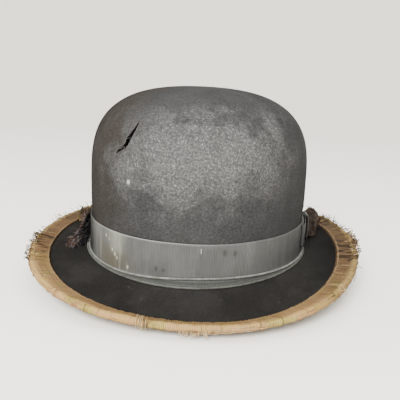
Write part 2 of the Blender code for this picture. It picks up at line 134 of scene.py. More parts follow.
# How high the upper cord lies over the crease, for angles in degrees round the hat.
UPPER_CORD_ANGLES = [-180, -150, -123, -109, -95, -82, -65, -51, -25, 0, 45, 90, 135, 180]
UPPER_CORD_HEIGHTS = [
    0.0009, 0.0008, 0.0010, 0.0020, 0.0038, 0.0046, 0.0041, 0.0030, 0.0014, 0.0010, 0.0022, 0.0040,
    0.0022, 0.0009,
]

# Where the binding is crumpled: angle and reach in degrees, and how much.
BINDING_CRUMPLES = [(-12, 11, 1.9), (-160, 9, 1.6), (-97, 2.5, 0.8), (25, 16, 1.1), (158, 14, 1.0)]

# A white spot on the felt: its turn to the side from the front, in radians, and its height.
WHITE_SPOT_TURN = -0.385
WHITE_SPOT_HEIGHT = 0.0605

# The tear: angle in degrees, height over the crease, half width.
TEAR = [
    (-115.4, 0.0988, 0.0003),
    (-116.3, 0.0942, 0.0009),
    (-117.6, 0.0903, 0.0014),
    (-118.8, 0.0872, 0.0018),
    (-119.2, 0.0843, 0.0016),
    (-120.4, 0.0822, 0.0013),
    (-122.9, 0.0800, 0.0009),
    (-124.8, 0.0776, 0.0003),
]
TEAR_MIDDLE = math.radians(-120)
TEAR_LEAD_HEIGHTS = (0.050, 0.118)     # where the felt's columns begin to follow the tear
TEAR_LEAD_REACH = math.radians(11)

# Frays of the binding's edge. Each zone: its name, first and last angle in degrees, hairs, loops,
# longest hair, droop, and whether it has dark threads. Each tone: its dark and its light colour.
FRAY_ZONES = [
    ("left_side", -170, -146, 24, 26, 0.0050, 0.12, True),
    ("left_back", 146, 188, 26, 8, 0.0075, 0.04, False),
    ("right_side", -18, 3, 26, 30, 0.0060, 0.08, True),
    ("right_back", 6, 44, 40, 12, 0.0090, 0.04, True),
    ("right_front", -46, -26, 12, 2, 0.0100, 0.35, False),
    ("left_front", -138, -112, 5, 1, 0.0025, 0.20, False),
    ("back", 60, 130, 30, 12, 0.0060, 0.15, False),
]
FRAY_TONES = {
    "pale": ((0.17, 0.115, 0.060), (0.36, 0.28, 0.175)),
    "brown": ((0.030, 0.017, 0.009), (0.11, 0.062, 0.032)),
    "dark": ((0.008, 0.005, 0.003), (0.030, 0.018, 0.010)),
}

# Torn ends of ribbon. Each: its name, seed, width, route over the brim as angle in degrees, distance
# from the edge and height, then the dark and light colours of the strip and those of its tip.
TORN_ENDS = [
    ("torn_ribbon_left", 31, 0.013,
     [(158, 0.006, 0.001), (165, 0.015, 0.004), (174, 0.026, 0.006), (185, 0.033, 0.006), (196, 0.034, 0.003),
      (203, 0.028, 0.001)],
     ((0.010, 0.0060, 0.0048), (0.046, 0.027, 0.020)), ((0.035, 0.029, 0.029), (0.10, 0.085, 0.083))),
    # This dark ribbon remnant is made near black, as painted shadow between the left tangle and the crown.
    ("torn_ribbon_left_dark", 35, 0.009,
     [(166, 0.030, 0.014), (176, 0.035, 0.015), (186, 0.037, 0.012), (194, 0.037, 0.007),
      (202, 0.036, 0.001)],
     ((0.0012, 0.0011, 0.0012), (0.0045, 0.0042, 0.0046)), ((0.006, 0.005, 0.006), (0.022, 0.019, 0.020))),
    ("torn_ribbon_left_wisps", 33, 0.008,
     [(147, 0.001, 0.004), (154, 0.006, 0.003), (163, 0.013, 0.002), (172, 0.019, 0.001)],
     ((0.040, 0.028, 0.010), (0.13, 0.090, 0.035)), ((0.05, 0.034, 0.013), (0.15, 0.11, 0.05))),
    ("torn_ribbon_right", 32, 0.018,
     [(39, 0.004, 0.001), (33, 0.007, 0.004), (25, 0.015, 0.005), (17, 0.024, 0.004), (7, 0.030, 0.001)],
     ((0.010, 0.006, 0.0045), (0.040, 0.024, 0.017)), ((0.006, 0.005, 0.004), (0.018, 0.014, 0.012))),
]

# The camera, which looks at the hat from the front and a little above.
CAMERA_PLACE = (0.03444, -0.39370, 0.12826)
CAMERA_TURN = 0.0844           # to the left, in radians
CAMERA_DOWN = 0.1955
CAMERA_ROLL = 0.0418
CAMERA_LENS = 43.28
KEY_LIGHT_PLACE = (-0.25, -1.35, 0.95)
KEY_LIGHT_TARGET = (0.0, 0.0, 0.06)

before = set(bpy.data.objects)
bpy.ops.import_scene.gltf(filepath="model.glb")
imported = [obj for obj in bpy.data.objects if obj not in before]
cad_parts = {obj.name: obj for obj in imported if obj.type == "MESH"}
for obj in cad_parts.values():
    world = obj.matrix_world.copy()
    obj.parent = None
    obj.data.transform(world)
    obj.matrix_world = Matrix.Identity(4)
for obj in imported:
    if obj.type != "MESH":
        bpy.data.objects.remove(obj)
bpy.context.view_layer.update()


# Shape of the hat -------------------------------------------------------------------------------

def points_of(x, y, z):
    """Points from their coordinates, which are numbers or arrays that fit together."""
    return np.stack(np.broadcast_arrays(x, y, z), axis=-1)


def unit(vectors):
    """The same directions, with length 1."""
    return vectors / np.linalg.norm(vectors, axis=-1, keepdims=True)


def blend_round(side, end, angle):
    """A value that goes from side, at the hat's sides, to end, at its front and back."""
    return side + (end - side) * np.sin(angle) ** 2


def oval(angle, half_width, z):
    """Points of a head oval, for arrays of angles, half widths and heights."""
    return points_of(half_width * np.cos(angle), HEAD_OVAL * half_width * np.sin(angle), z)


def crease_z(angle):
    """Height of the crease above the ground."""
    return CREASE_HEIGHT - CREASE_DIP * np.sin(angle) ** 2


def wall_half_width(height):
    """Half width of the crown's outer face, for heights over the crease."""
    height = np.asarray(height, float)
    low = np.clip((height - BAND_TOP_HEIGHT) / (CROWN_WIDEST_HEIGHT - BAND_TOP_HEIGHT), 0, 1)
    swell = CROWN_FOOT_HALF_WIDTH + (CROWN_HALF_WIDTH - CROWN_FOOT_HALF_WIDTH) * np.sin(0.5 * np.pi * low)
    high = np.clip((height - CROWN_WIDEST_HEIGHT) / (CROWN_HEIGHT - CROWN_WIDEST_HEIGHT), 0, 1)
    turn = np.arcsin(high ** (CROWN_RISE_POWER / 2))
    dome = CROWN_HALF_WIDTH * np.cos(turn) ** (2 / CROWN_ROUND_POWER)
    return np.where(height <= CROWN_WIDEST_HEIGHT, swell, dome)


def wall_point(angle, height, outward=0.0):
    """Points near the crown's wall, outward from its outer face."""
    fade = 1.0 - np.clip(height / CROWN_WIDEST_HEIGHT, 0, 1)
    z = CREASE_HEIGHT + height - CREASE_DIP * np.sin(angle) ** 2 * fade
    return oval(angle, wall_half_width(height) + outward, z)


def brim_edge(angle):
    """The outermost line of the bound brim."""
    across, along = np.cos(angle), np.sin(angle)
    power = BRIM_SQUARENESS
    reach = (np.abs(across) ** power + np.abs(along) ** power) ** (-1 / power)
    fall = np.where(along < 0, EDGE_POWER_FRONT, EDGE_POWER_BACK)
    z = CREASE_HEIGHT + EDGE_RISE_SIDE + EDGE_LEAN * across
    z = z - (EDGE_RISE_SIDE + EDGE_DROP_END) * np.abs(along) ** fall
    z = z - EDGE_TWIST * across * np.maximum(0, -along) ** 2
    return points_of(BRIM_HALF_WIDTH * reach * across, BRIM_HALF_LENGTH * reach * along, z)


def brim_start(angle):
    """Where the flat of the brim begins, at the end of the crease's curve."""
    return oval(angle, CROWN_FOOT_HALF_WIDTH + CREASE_RADIUS, crease_z(angle))


def hermite(share, length, start, start_slope, end, end_slope):
    """Height on the cubic between two points with given slopes."""
    a = 1 - share
    return (start * a * a * (1 + 2 * share) + end * share * share * (3 - 2 * share)
            + length * (start_slope * share * a * a - end_slope * share * share * a))


def brim_width(angle):
    """From the end of the crease's curve to the edge, seen from above."""
    start, end = brim_start(angle), brim_edge(angle)
    return np.linalg.norm((end - start)[..., :2], axis=-1)


def brim_frame(angle, from_edge):
    """Points of the brim's upper face, with the directions outward along it and up from it."""
    angle, from_edge = np.broadcast_arrays(angle, from_edge)
    start, end = brim_start(angle), brim_edge(angle)
    plan = (end - start) * np.array([1, 1, 0])
    width = np.linalg.norm(plan, axis=-1)
    plan = plan / width[..., None]
    trough = width - BINDING_WIDTH
    curl = blend_round(EDGE_CURL_SIDE, EDGE_CURL_END, angle)
    trough_z = end[..., 2] - BINDING_WIDTH * curl
    crease_slope = blend_round(CREASE_SLOPE_SIDE, CREASE_SLOPE_END, angle)
    trough_slope = blend_round(TROUGH_SLOPE_SIDE, TROUGH_SLOPE_END, angle)
    edge_slope = 2 * curl - trough_slope

    def height(run):
        inner = hermite(run / trough, trough, start[..., 2], crease_slope, trough_z, trough_slope)
        outer = hermite((run - trough) / BINDING_WIDTH, BINDING_WIDTH, trough_z, trough_slope,
                        end[..., 2], edge_slope)
        return np.where(run < trough, inner, outer)

    run = width - from_edge
    step = 0.0002
    slope = ((height(run + step) - height(run - step)) / (2 * step))[..., None]
    up = unit(np.array([0, 0, 1]) - slope * plan)
    out = unit(plan + slope * np.array([0, 0, 1]))
    place = start + plan * run[..., None]
    place[..., 2] = height(run)
    return place, out, up


def brim_point(angle, from_edge, outward=0.0):
    """Points near the brim's upper face: their distance from the edge, and up from the felt."""
    place, _, up = brim_frame(angle, from_edge)
    return place + up * np.broadcast_to(outward, up.shape[:-1])[..., None]


def binding_point(angle, station, proud=0.0):
    """Points of the binding's outer face, from station 0 inside on top to 1 inside below."""
    angle, station, proud = np.broadcast_arrays(angle, station, proud)
    lay = GAP + RIBBON_THICKNESS
    reach = BINDING_WIDTH - FOLD_RADIUS
    from_edge = FOLD_RADIUS + reach * np.clip(np.maximum(0.4 - station, station - 0.6) / 0.4, 0, 1)
    top = brim_point(angle, from_edge, lay + proud)
    below = brim_point(angle, from_edge, -FELT_THICKNESS - lay - proud)
    centre, out, up = brim_frame(angle, FOLD_RADIUS)
    turn = (np.pi * np.clip((station - 0.4) / 0.2, 0, 1))[..., None]
    radius = (FOLD_RADIUS + proud)[..., None]
    fold = centre - up * 0.5 * FELT_THICKNESS + radius * (out * np.sin(turn) + up * np.cos(turn))
    side = station[..., None]
    return np.where(side < 0.4, top, np.where(side > 0.6, below, fold))


def inside_dome(angle, turn, inset):
    """Points inside the dome: turn is 0 where it is widest and a right angle at its top."""
    half_width = (CROWN_HALF_WIDTH - inset) * np.cos(turn) ** (2 / CROWN_ROUND_POWER)
    rise = (CROWN_HEIGHT - CROWN_WIDEST_HEIGHT - inset) * np.sin(turn) ** (2 / CROWN_RISE_POWER)
    return oval(angle, half_width, CREASE_HEIGHT + CROWN_WIDEST_HEIGHT + rise)


def round_angles(count):
    """Angles once round the hat, starting at the bow."""
    return 2 * np.pi * np.arange(count) / count


def wander(points, size, seed):
    """Smooth noise between about -1 and 1, with hills of the given size."""
    shift = Vector((17.3 * seed, -9.1 * seed, 5.7 * seed))
    flat = (points / size).reshape(-1, 3)
    values = [noise.noise(Vector(point) + shift) for point in flat]
    return np.array(values).reshape(points.shape[:-1])


def smooth_step(low, high, value):
    """0 below low and 1 above high, with a soft change between them."""
    share = np.clip((value - low) / (high - low), 0, 1)
    return share * share * (3 - 2 * share)


# Tools for making pieces ------------------------------------------------------------------------

def add_piece(name, data, finish, replaced=()):
    """A piece of the hat: it rides on the hat, and stands for the CAD nodes that it replaces."""
    piece = bpy.data.objects.new(name, data)
    bpy.context.scene.collection.objects.link(piece)
    data.materials.append(finish)
    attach(piece, "root")
    if replaced:
        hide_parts(*replaced)
    return piece


def grid_faces(rows, columns, closed):
    """Quads between neighbouring rows and columns of a grid of points."""
    last = columns if closed else columns - 1
    row, column = np.meshgrid(np.arange(rows - 1), np.arange(last), indexing="ij")
    beside = (column + 1) % columns
    quads = np.stack([row * columns + column, (row + 1) * columns + column,
                      (row + 1) * columns + beside, row * columns + beside], axis=-1)
    return quads.reshape(-1, 4)


def make_mesh(name, points, faces, values=None):
    """A smooth mesh of points and faces, with a named number at each point for the materials."""
    mesh = bpy.data.meshes.new(name)
    mesh.from_pydata(points.reshape(-1, 3).tolist(), [], [list(face) for face in faces])
    for key, numbers in (values or {}).items():
        attribute = mesh.attributes.new(key, "FLOAT", "POINT")
        attribute.data.foreach_set("value", np.asarray(numbers, np.float32).ravel())
    mesh.shade_smooth()
    return mesh


def grid_mesh(name, grid, closed=True, values=None):
    """A mesh of a grid of points."""
    shape = grid.shape[:2]
    spread = {key: np.broadcast_to(numbers, shape) for key, numbers in (values or {}).items()}
    return make_mesh(name, grid, grid_faces(*shape, closed).tolist(), spread)


def thicken(piece, thickness):
    """Give an open surface its thickness, on the side that its faces turn away from."""
    solidify = piece.modifiers.new("thickness", "SOLIDIFY")
    solidify.thickness = thickness
    solidify.offset = -1.0
    return piece


def surface(name, grid, thickness, finish, replaced=(), closed=True, values=None):
    """A thick piece made from a grid of points."""
    mesh = grid_mesh(name, grid, closed, values)
    return thicken(add_piece(name, mesh, finish, replaced), thickness)


def ring_frames(line):
    """Two directions at right angles to a closed line of points, to its side and upwards."""
    along = unit(np.roll(line, -1, axis=0) - np.roll(line, 1, axis=0))
    side = unit(np.cross(along, np.array([0.0, 0.0, 1.0])))
    return side, np.cross(side, along)


def twisted_cord(name, line, radius, plies, pitch, finish, replaced):
    """A closed ring of cord laid from plies that wind round each other, as real raised strands."""
    side, up = ring_frames(line)
    steps = np.linalg.norm(np.diff(line, axis=0, append=line[:1]), axis=1)
    run = np.concatenate([[0], np.cumsum(steps)[:-1]])
    turn = np.linspace(0, 2 * np.pi, 6 * plies, endpoint=False)
    phase = turn[None, :] * plies + (2 * np.pi * plies * run / pitch)[:, None]
    bulge = radius * (0.80 + 0.20 * np.abs(np.cos(0.5 * phase)))
    grid = (line[:, None] + side[:, None] * (bulge * np.cos(turn))[..., None]
            + up[:, None] * (bulge * np.sin(turn))[..., None])
    rows, columns = grid.shape[:2]
    faces = grid_faces(rows, columns, True)[:, ::-1].tolist()
    last = (rows - 1) * columns
    faces += [[last + i, last + (i + 1) % columns, (i + 1) % columns, i] for i in range(columns)]
    return add_piece(name, make_mesh(name, grid, faces), finish, replaced)


def threads(name, lines, radius, finish, replaced=()):
    """Many threads as one piece, each a smooth curve by its own points."""
    curve = bpy.data.curves.new(name, "CURVE")
    curve.dimensions = "3D"
    curve.bevel_depth = radius
    curve.bevel_resolution = 1
    curve.use_fill_caps = True
    curve.resolution_u = 3
    for line in lines:
        spline = curve.splines.new("NURBS")
        spline.points.add(len(line) - 1)
        for spline_point, point in zip(spline.points, line):
            spline_point.co = (*point, 1.0)
        spline.use_endpoint_u = True
        spline.order_u = 3
    return add_piece(name, curve, finish, replaced)


# Materials --------------------------------------------------------------------------------------

class Finish:
    """A node material that is painted in layers, with short ways to add its nodes."""

    def __init__(self, name, roughness, **constants):
        self.material = bpy.data.materials.new(name)
        self.material.use_nodes = True
        self.tree = self.material.node_tree
        self.shader = self.tree.nodes["Principled BSDF"]
        self.shader.inputs["Roughness"].default_value = roughness
        for key, value in constants.items():
            self.shader.inputs[key.replace("_", " ")].default_value = value
        self.colour = None

    def feed(self, socket, value):
        """Link a socket to another, or set it to a number, a direction or a colour."""
        if isinstance(value, bpy.types.NodeSocket):
            self.tree.links.new(value, socket)
        elif socket.type == "RGBA":
            socket.default_value = (*value, 1.0)
        else:
            socket.default_value = value

    def node(self, kind, inputs, **settings):
        """The outputs of a new node, once its settings and inputs are made."""
        node = self.tree.nodes.new(f"ShaderNode{kind}")
        for key, setting in settings.items():
            setattr(node, key, setting)
        for key, value in inputs.items():
            self.feed(node.inputs[key], value)
        return node.outputs

    def value(self, name):
        """The number that each point of the mesh holds under a name."""
        return self.node("Attribute", {}, attribute_name=name)["Fac"]

    def place(self):
        """The point in the hat's frame."""
        return self.node("TexCoord", {})["Object"]

    def axis(self, name):
        """One coordinate of the point: X, Y or Z."""
        return self.node("SeparateXYZ", {0: self.place()})[name]

    def ribbon_place(self, scale):
        """The point on a ribbon laid flat, stretched by three factors."""
        flat = self.node("CombineXYZ", {"X": self.value("along"), "Y": self.value("across")})[0]
        return self.node("VectorMath", {0: flat, 1: scale}, operation="MULTIPLY")[0]

    def noise(self, size, detail=3.0, rough=0.55, at=None):
        """Noise between 0 and 1, with spots of about the given size in metres."""
        inputs = {"Vector": at or self.place(), "Scale": 1.0 / size, "Detail": detail, "Roughness": rough}
        return self.node("TexNoise", inputs)["Fac"]

    def math(self, operation, a, b=0.0):
        """A sum on one or two numbers."""
        return self.node("Math", {0: a, 1: b}, operation=operation)[0]

    def times(self, a, b):
        """The product of two numbers."""
        return self.math("MULTIPLY", a, b)

    def larger(self, a, b):
        """The larger of two numbers."""
        return self.math("MAXIMUM", a, b)

    def step(self, value, low, high, start=0.0, end=1.0):
        """A soft change from start, where value is low, to end, where it is high."""
        inputs = {"Value": value, "From Min": low, "From Max": high, "To Min": start, "To Max": end}
        return self.node("MapRange", inputs, interpolation_type="SMOOTHSTEP")["Result"]

    def near(self, value, middle, reach):
        """1 where a value is at the middle, falling to 0 at a distance of reach."""
        away = self.math("ABSOLUTE", self.math("SUBTRACT", value, middle))
        return self.step(away, 0.0, reach, 1.0, 0.0)

    def mix(self, share, a, b, kind="MIX"):
        """A colour between a, at share 0, and b, at share 1: sockets 6 and 7 hold a mix's colours."""
        return self.node("Mix", {0: share, 6: a, 7: b}, data_type="RGBA", blend_type=kind)[2]

    def paint(self, share, colour, strength=1.0):
        """Lay a colour over the finish where share is 1, as dense as its strength."""
        self.colour = self.mix(self.times(share, strength), self.colour, colour)

    def shade(self, factor):
        """Lighten or darken the finish by a factor."""
        self.colour = self.mix(1.0, self.colour, factor, "MULTIPLY")

    def bump(self, height, distance, strength, over=None):
        """A surface direction that follows heights between 0 and 1, over another direction."""
        inputs = {"Strength": strength, "Distance": distance, "Height": height}
        if over:
            inputs["Normal"] = over
        return self.node("Bump", inputs)[0]

    def done(self, normal=None, roughness=None):
        """Connect the shader, and give the material."""
        for key, value in (("Base Color", self.colour), ("Normal", normal), ("Roughness", roughness)):
            if value:
                self.feed(self.shader.inputs[key], value)
        return self.material


def felt_finish():
    """Faded grey felt with a pale bloom and painted frontal light across the crown's front, painted shade at
    the crown's sides and back and on the far brim, a painted highlight along the tear's lips, and a darker
    brim.
    """
    felt = Finish("worn_felt", 1.0, Specular_IOR_Level=0.04)
    x, y = felt.axis("X"), felt.axis("Y")
    z = felt.math("SUBTRACT", felt.axis("Z"), CREASE_HEIGHT)
    patches = felt.step(felt.noise(0.030, 4.0, 0.6), 0.35, 0.65)
    clouds = felt.noise(0.016, 5.0, 0.7)
    speckle = felt.noise(0.0015, 4.0, 0.8)
    turned = felt.math("ARCTAN2", x, felt.times(y, -1.0))
    cloudy_turned = felt.math("ADD", turned, felt.step(clouds, 0.3, 0.7, -0.18, 0.18))
    cloudy_level = felt.math("ADD", z, felt.step(clouds, 0.3, 0.7, -0.012, 0.012))

    # The bloom is the felt's own pale fading together with painted frontal light, which falls off toward the
    # sides.
    from_sides = felt.times(felt.step(cloudy_turned, -0.70, -0.04), felt.step(cloudy_turned, 0.98, 0.35))
    rise = felt.step(cloudy_level, 0.040, 0.078, 0.04, 1.0)
    fall = felt.step(cloudy_level, 0.084, 0.116, 1.0, 0.0)
    bloom_and_front_light = felt.times(felt.times(rise, fall), from_sides)

    back = felt.step(y, 0.0, 0.050)
    brown = felt.larger(felt.step(cloudy_turned, -0.30, -0.75, 0.0, 0.9), felt.times(back, 0.9))
    left = felt.step(cloudy_turned, -0.60, -1.35)
    right = felt.step(cloudy_turned, 0.62, 1.30, 0.0, 0.12)
    dust = felt.times(bloom_and_front_light, felt.step(speckle, 0.40, 0.60))
    flecks = felt.step(felt.noise(0.0011, 2.0, 0.6), 0.58, 0.66)
    spot = felt.times(felt.near(turned, WHITE_SPOT_TURN, 0.020), felt.near(z, WHITE_SPOT_HEIGHT, 0.0022))
    felt.colour = felt.mix(patches, (0.0225, 0.0230, 0.0236), (0.0300, 0.0302, 0.0304))
    felt.paint(brown, (0.0225, 0.0195, 0.0175))
    # Painted shade toward the crown's left and right silhouettes and at its back.
    felt.paint(felt.larger(felt.larger(left, right), back), (0.0048, 0.0045, 0.0043), 0.80)
    felt.paint(bloom_and_front_light, (0.075, 0.076, 0.076), 0.44)
    felt.paint(dust, (0.100, 0.101, 0.099), 0.44)
    felt.paint(felt.times(flecks, felt.step(bloom_and_front_light, 0.0, 1.0, 0.06, 0.40)), (0.24, 0.24, 0.235))
    felt.paint(spot, (0.34, 0.34, 0.32))
    # Painted highlight along the tear's lips.
    felt.paint(felt.value("lip"), (0.105, 0.10, 0.095), 0.6)
    crown = felt.colour

    felt.colour = felt.mix(patches, (0.0090, 0.0086, 0.0080), (0.0140, 0.0134, 0.0125))
    # Painted shade on the brim's right side and back, between the crown and the raised edge.
    far = felt.larger(felt.step(x, 0.075, 0.12), felt.step(y, -0.01, 0.05))
    felt.paint(far, (0.0016, 0.0015, 0.0015), 0.65)
    felt.paint(felt.step(felt.noise(0.006, 5.0, 0.7), 0.60, 0.80), (0.040, 0.038, 0.036), 0.40)
    felt.paint(felt.step(z, 0.013, 0.021), crown)
    felt.shade(felt.step(speckle, 0.25, 0.75, 0.72, 1.28))
    return felt.done(felt.bump(felt.noise(0.0005, 2.0), 0.0003, 0.5, felt.bump(speckle, 0.0006, 0.7)))


def felt_cut_finish():
    """The torn edge of the felt: unfaded black fibres, made near black as painted shade inside the tear."""
    cut = Finish("felt_cut_edge", 0.95, Specular_IOR_Level=0.1)
    fibres = cut.noise(0.0006, 4.0, 0.8)
    cut.colour = cut.mix(cut.step(fibres, 0.3, 0.7), (0.0012, 0.0011, 0.0010), (0.0035, 0.0030, 0.0028))
    return cut.done(cut.bump(fibres, 0.0005, 0.8))


def ribbed_surface(ribbon):
    """The direction of a ribbed ribbon's surface, and the height of its ribs from 0 to 1."""
    wave = ribbon.math("SINE", ribbon.times(ribbon.value("along"), 2 * math.pi / RIB_PITCH))
    ribs = ribbon.step(wave, -1.0, 1.0)
    return ribbon.bump(ribbon.noise(0.0006, 2.0), 0.0002, 0.4, ribbon.bump(ribs, 0.00025, 0.6)), ribs


def paint_band_wear_and_painted_light(ribbon, streaks):
    """The band's rubbed stretch with its painted sheen and painted highlights, its dark marks, a painted
    highlight along its top edge, and painted shadows beside the torn end and at its foot.
    """
    along, across = ribbon.value("along"), ribbon.value("across")
    rubbed = ribbon.near(along, BAND_WORN_PLACE, 0.030)
    shiny = ribbon.near(along, BAND_WORN_PLACE + 0.005, 0.012)
    ribbon.paint(ribbon.times(rubbed, ribbon.step(across, 0.019, 0.010)), (0.064, 0.056, 0.040), 0.8)
    # Painted sheen and painted highlight streaks on the rubbed stretch.
    ribbon.paint(ribbon.times(shiny, ribbon.step(across, 0.008, 0.016)), (0.165, 0.170, 0.140), 0.75)
    ribbon.paint(ribbon.times(rubbed, ribbon.step(streaks, 0.52, 0.66)), (0.20, 0.195, 0.155), 0.55)
    # Painted highlight spots, then dark marks.
    for places, tint in ((BAND_HIGHLIGHT_SPOTS, (0.36, 0.35, 0.29)), (BAND_DARK_MARKS, (0.022, 0.021, 0.019))):
        for place, height, reach in places:
            spot = ribbon.times(ribbon.near(along, place, reach), ribbon.near(across, height, 1.3 * reach))
            ribbon.paint(spot, tint, 0.9)
    # Painted shadow beside the left torn end.
    torn_end_shadow = ribbon.times(ribbon.step(along, 0.362, 0.346), ribbon.step(along, 0.19, 0.23))
    ribbon.paint(torn_end_shadow, (0.005, 0.005, 0.005), 0.92)
    # Painted highlight along the top edge.
    top_edge = ribbon.near(across, BAND_TOP_HEIGHT, 0.0006)
    ribbon.paint(ribbon.times(top_edge, ribbon.near(along, BAND_LIT_EDGE_PLACE, 0.085)), (0.20, 0.20, 0.185))
    # Painted shade on the flared foot, under the upper cord.
    below = ribbon.step(across, BAND_FOOT_HEIGHT, BAND_FOOT_HEIGHT - 0.002, 0.0, 0.75)
    ribbon.paint(below, (0.014, 0.016, 0.013))


def band_finish(worn):
    """Faded black ribbed ribbon, with painted shade in the grooves of its ribs and on its right side; when
    worn is set, also the band's marks of wear with their painted highlights and painted shadows.
    """
    ribbon = Finish("band_ribbon_faded", 0.55, Specular_IOR_Level=0.25)
    normal, ribs = ribbed_surface(ribbon)
    streaks = ribbon.noise(0.004, 4.0, 0.65, ribbon.ribbon_place((1.0, 0.12, 1.0)))
    patches = ribbon.step(ribbon.noise(0.016, 4.0, 0.6), 0.3, 0.7)
    ribbon.colour = ribbon.mix(patches, (0.048, 0.0495, 0.0485), (0.066, 0.068, 0.067))
    ribbon.paint(ribbon.step(streaks, 0.45, 0.75, 0.0, 0.35), (0.092, 0.093, 0.090))
    # Painted shade on the right side, away from the key light.
    ribbon.paint(ribbon.step(ribbon.axis("X"), 0.035, 0.085, 0.0, 0.70), (0.018, 0.018, 0.018))
    if worn:
        paint_band_wear_and_painted_light(ribbon, streaks)
    # Painted shade in the grooves between the ribs.
    ribbon.shade(ribbon.step(ribs, 0.0, 1.0, 0.86, 1.10))
    return ribbon.done(normal, ribbon.step(streaks, 0.4, 0.7, 0.60, 0.42))


def binding_finish():
    """Tan ribbon, golden at the front and browner round the sides, with painted shade in its creases, on its
    top face, under its fold and on its right side, and painted highlights on the fold's shoulder and along
    its inner edge.
    """
    ribbon = Finish("binding_ribbon_worn", 0.70, Specular_IOR_Level=0.10)
    normal, ribs = ribbed_surface(ribbon)
    patches = ribbon.noise(0.022, 3.0, 0.5)
    streaks = ribbon.noise(0.0030, 4.0, 0.7, ribbon.ribbon_place((1.0, 0.10, 1.0)))
    threads_along = ribbon.noise(0.0016, 4.0, 0.7, ribbon.ribbon_place((0.08, 1.0, 1.0)))
    x, y, across = ribbon.axis("X"), ribbon.axis("Y"), ribbon.value("across")
    brown = ribbon.mix(ribbon.step(patches, 0.35, 0.65), (0.070, 0.039, 0.017), (0.110, 0.062, 0.028))
    ribbon.colour = ribbon.mix(ribbon.step(patches, 0.36, 0.52), (0.285, 0.190, 0.050), (0.290, 0.172, 0.074))
    ribbon.paint(ribbon.step(patches, 0.56, 0.66), (0.235, 0.185, 0.055))
    ribbon.paint(ribbon.step(y, -0.112, -0.035), brown)
    # Painted shade on the right side, away from the key light.
    ribbon.paint(ribbon.step(x, 0.06, 0.115), (0.052, 0.035, 0.017), 0.60)
    ribbon.paint(ribbon.step(y, -0.005, 0.045, 0.0, 0.75), (0.026, 0.019, 0.010))
    # Painted shade on the top face, a painted highlight on the fold's upper shoulder, and painted shade under
    # the fold.
    ribbon.paint(ribbon.step(across, 0.0050, 0.0115, 0.50, 0.0), (0.062, 0.036, 0.016))
    ribbon.paint(ribbon.near(across, 0.0118, 0.0030), (0.33, 0.230, 0.072), 0.40)
    ribbon.paint(ribbon.step(across, 0.0150, 0.0170, 0.0, 0.75), (0.080, 0.050, 0.026))
    ribbon.paint(ribbon.step(streaks, 0.54, 0.74, 0.0, 0.65), (0.27, 0.190, 0.085))
    ribbon.paint(ribbon.step(streaks, 0.47, 0.30, 0.0, 0.85), (0.036, 0.018, 0.007))
    ribbon.paint(ribbon.step(threads_along, 0.50, 0.36, 0.0, 0.55), (0.055, 0.026, 0.009))
    # Painted shade in the crumpled creases.
    ribbon.paint(ribbon.value("crease"), (0.012, 0.007, 0.004), 0.90)
    # Painted highlight along the inner selvedge.
    ribbon.paint(ribbon.near(across, 0.0006, 0.0009), (0.23, 0.165, 0.090), 0.5)
    # Painted shade in the grooves between the ribs.
    ribbon.shade(ribbon.step(ribs, 0.0, 1.0, 0.70, 1.18))
    return ribbon.done(normal)


def thread_finish(name, dark, light, roughness=0.75):
    """Twisted thread or cord, uneven in colour along its length."""
    thread = Finish(name, roughness, Specular_IOR_Level=0.12)
    thread.colour = thread.mix(thread.step(thread.noise(0.006, 4.0, 0.7), 0.3, 0.7), dark, light)
    return thread.done(thread.bump(thread.noise(0.0004, 2.0), 0.0002, 0.6))


def leather_finish():
    """Brown leather, darkened and shiny where the forehead has rubbed it."""
    leather = Finish("sweatband_leather_worn", 0.5, Specular_IOR_Level=0.45)
    grain = leather.node("TexVoronoi", {"Vector": leather.place(), "Scale": 900.0})["Distance"]
    stains = leather.noise(0.018, 5.0, 0.65)
    leather.colour = leather.mix(leather.step(stains, 0.35, 0.7), (0.16, 0.075, 0.032), (0.075, 0.034, 0.016))
    leather.paint(leather.step(leather.axis("Y"), 0.02, -0.09, 0.0, 0.6), (0.035, 0.018, 0.010))
    normal = leather.bump(leather.noise(0.006, 4.0), 0.0006, 0.4, leather.bump(grain, 0.0003, 0.35))
    return leather.done(normal, leather.step(stains, 0.3, 0.7, 0.42, 0.62))


def satin_finish():
    """Dull black satin with a fine weave."""
    satin = Finish("lining_satin_worn", 0.38, Sheen_Weight=0.15, Anisotropic=0.5)
    patches = satin.step(satin.noise(0.015, 4.0, 0.6), 0.3, 0.7)
    satin.colour = satin.mix(patches, (0.028, 0.025, 0.028), (0.055, 0.049, 0.051))
    return satin.done(satin.bump(satin.noise(0.0005, 2.0), 0.00015, 0.4))


def floor_finish():
    """Plain pale floor."""
    floor = Finish("pale_floor", 0.8)
    floor.colour = (0.86, 0.84, 0.79)
    return floor.done()


# Felt body --------------------------------------------------------------------------------------

TEAR_ANGLES = np.radians([row[0] for row in TEAR])[::-1]
TEAR_HEIGHTS = np.array([row[1] for row in TEAR])[::-1]
TEAR_HALF_WIDTHS = np.array([row[2] for row in TEAR])[::-1]


def felt_columns():
    """Angles of the felt's columns, closer together round the tear."""
    first, last, step = TEAR_COLUMNS
    coarse = np.radians(np.arange(-180, 180, FELT_COLUMN_STEP))
    fine = np.radians(np.arange(first, last + 0.01, step))
    coarse = coarse[(coarse < fine[0] - 0.004) | (coarse > fine[-1] + 0.004)]
    return np.sort(np.concatenate([coarse, fine]))


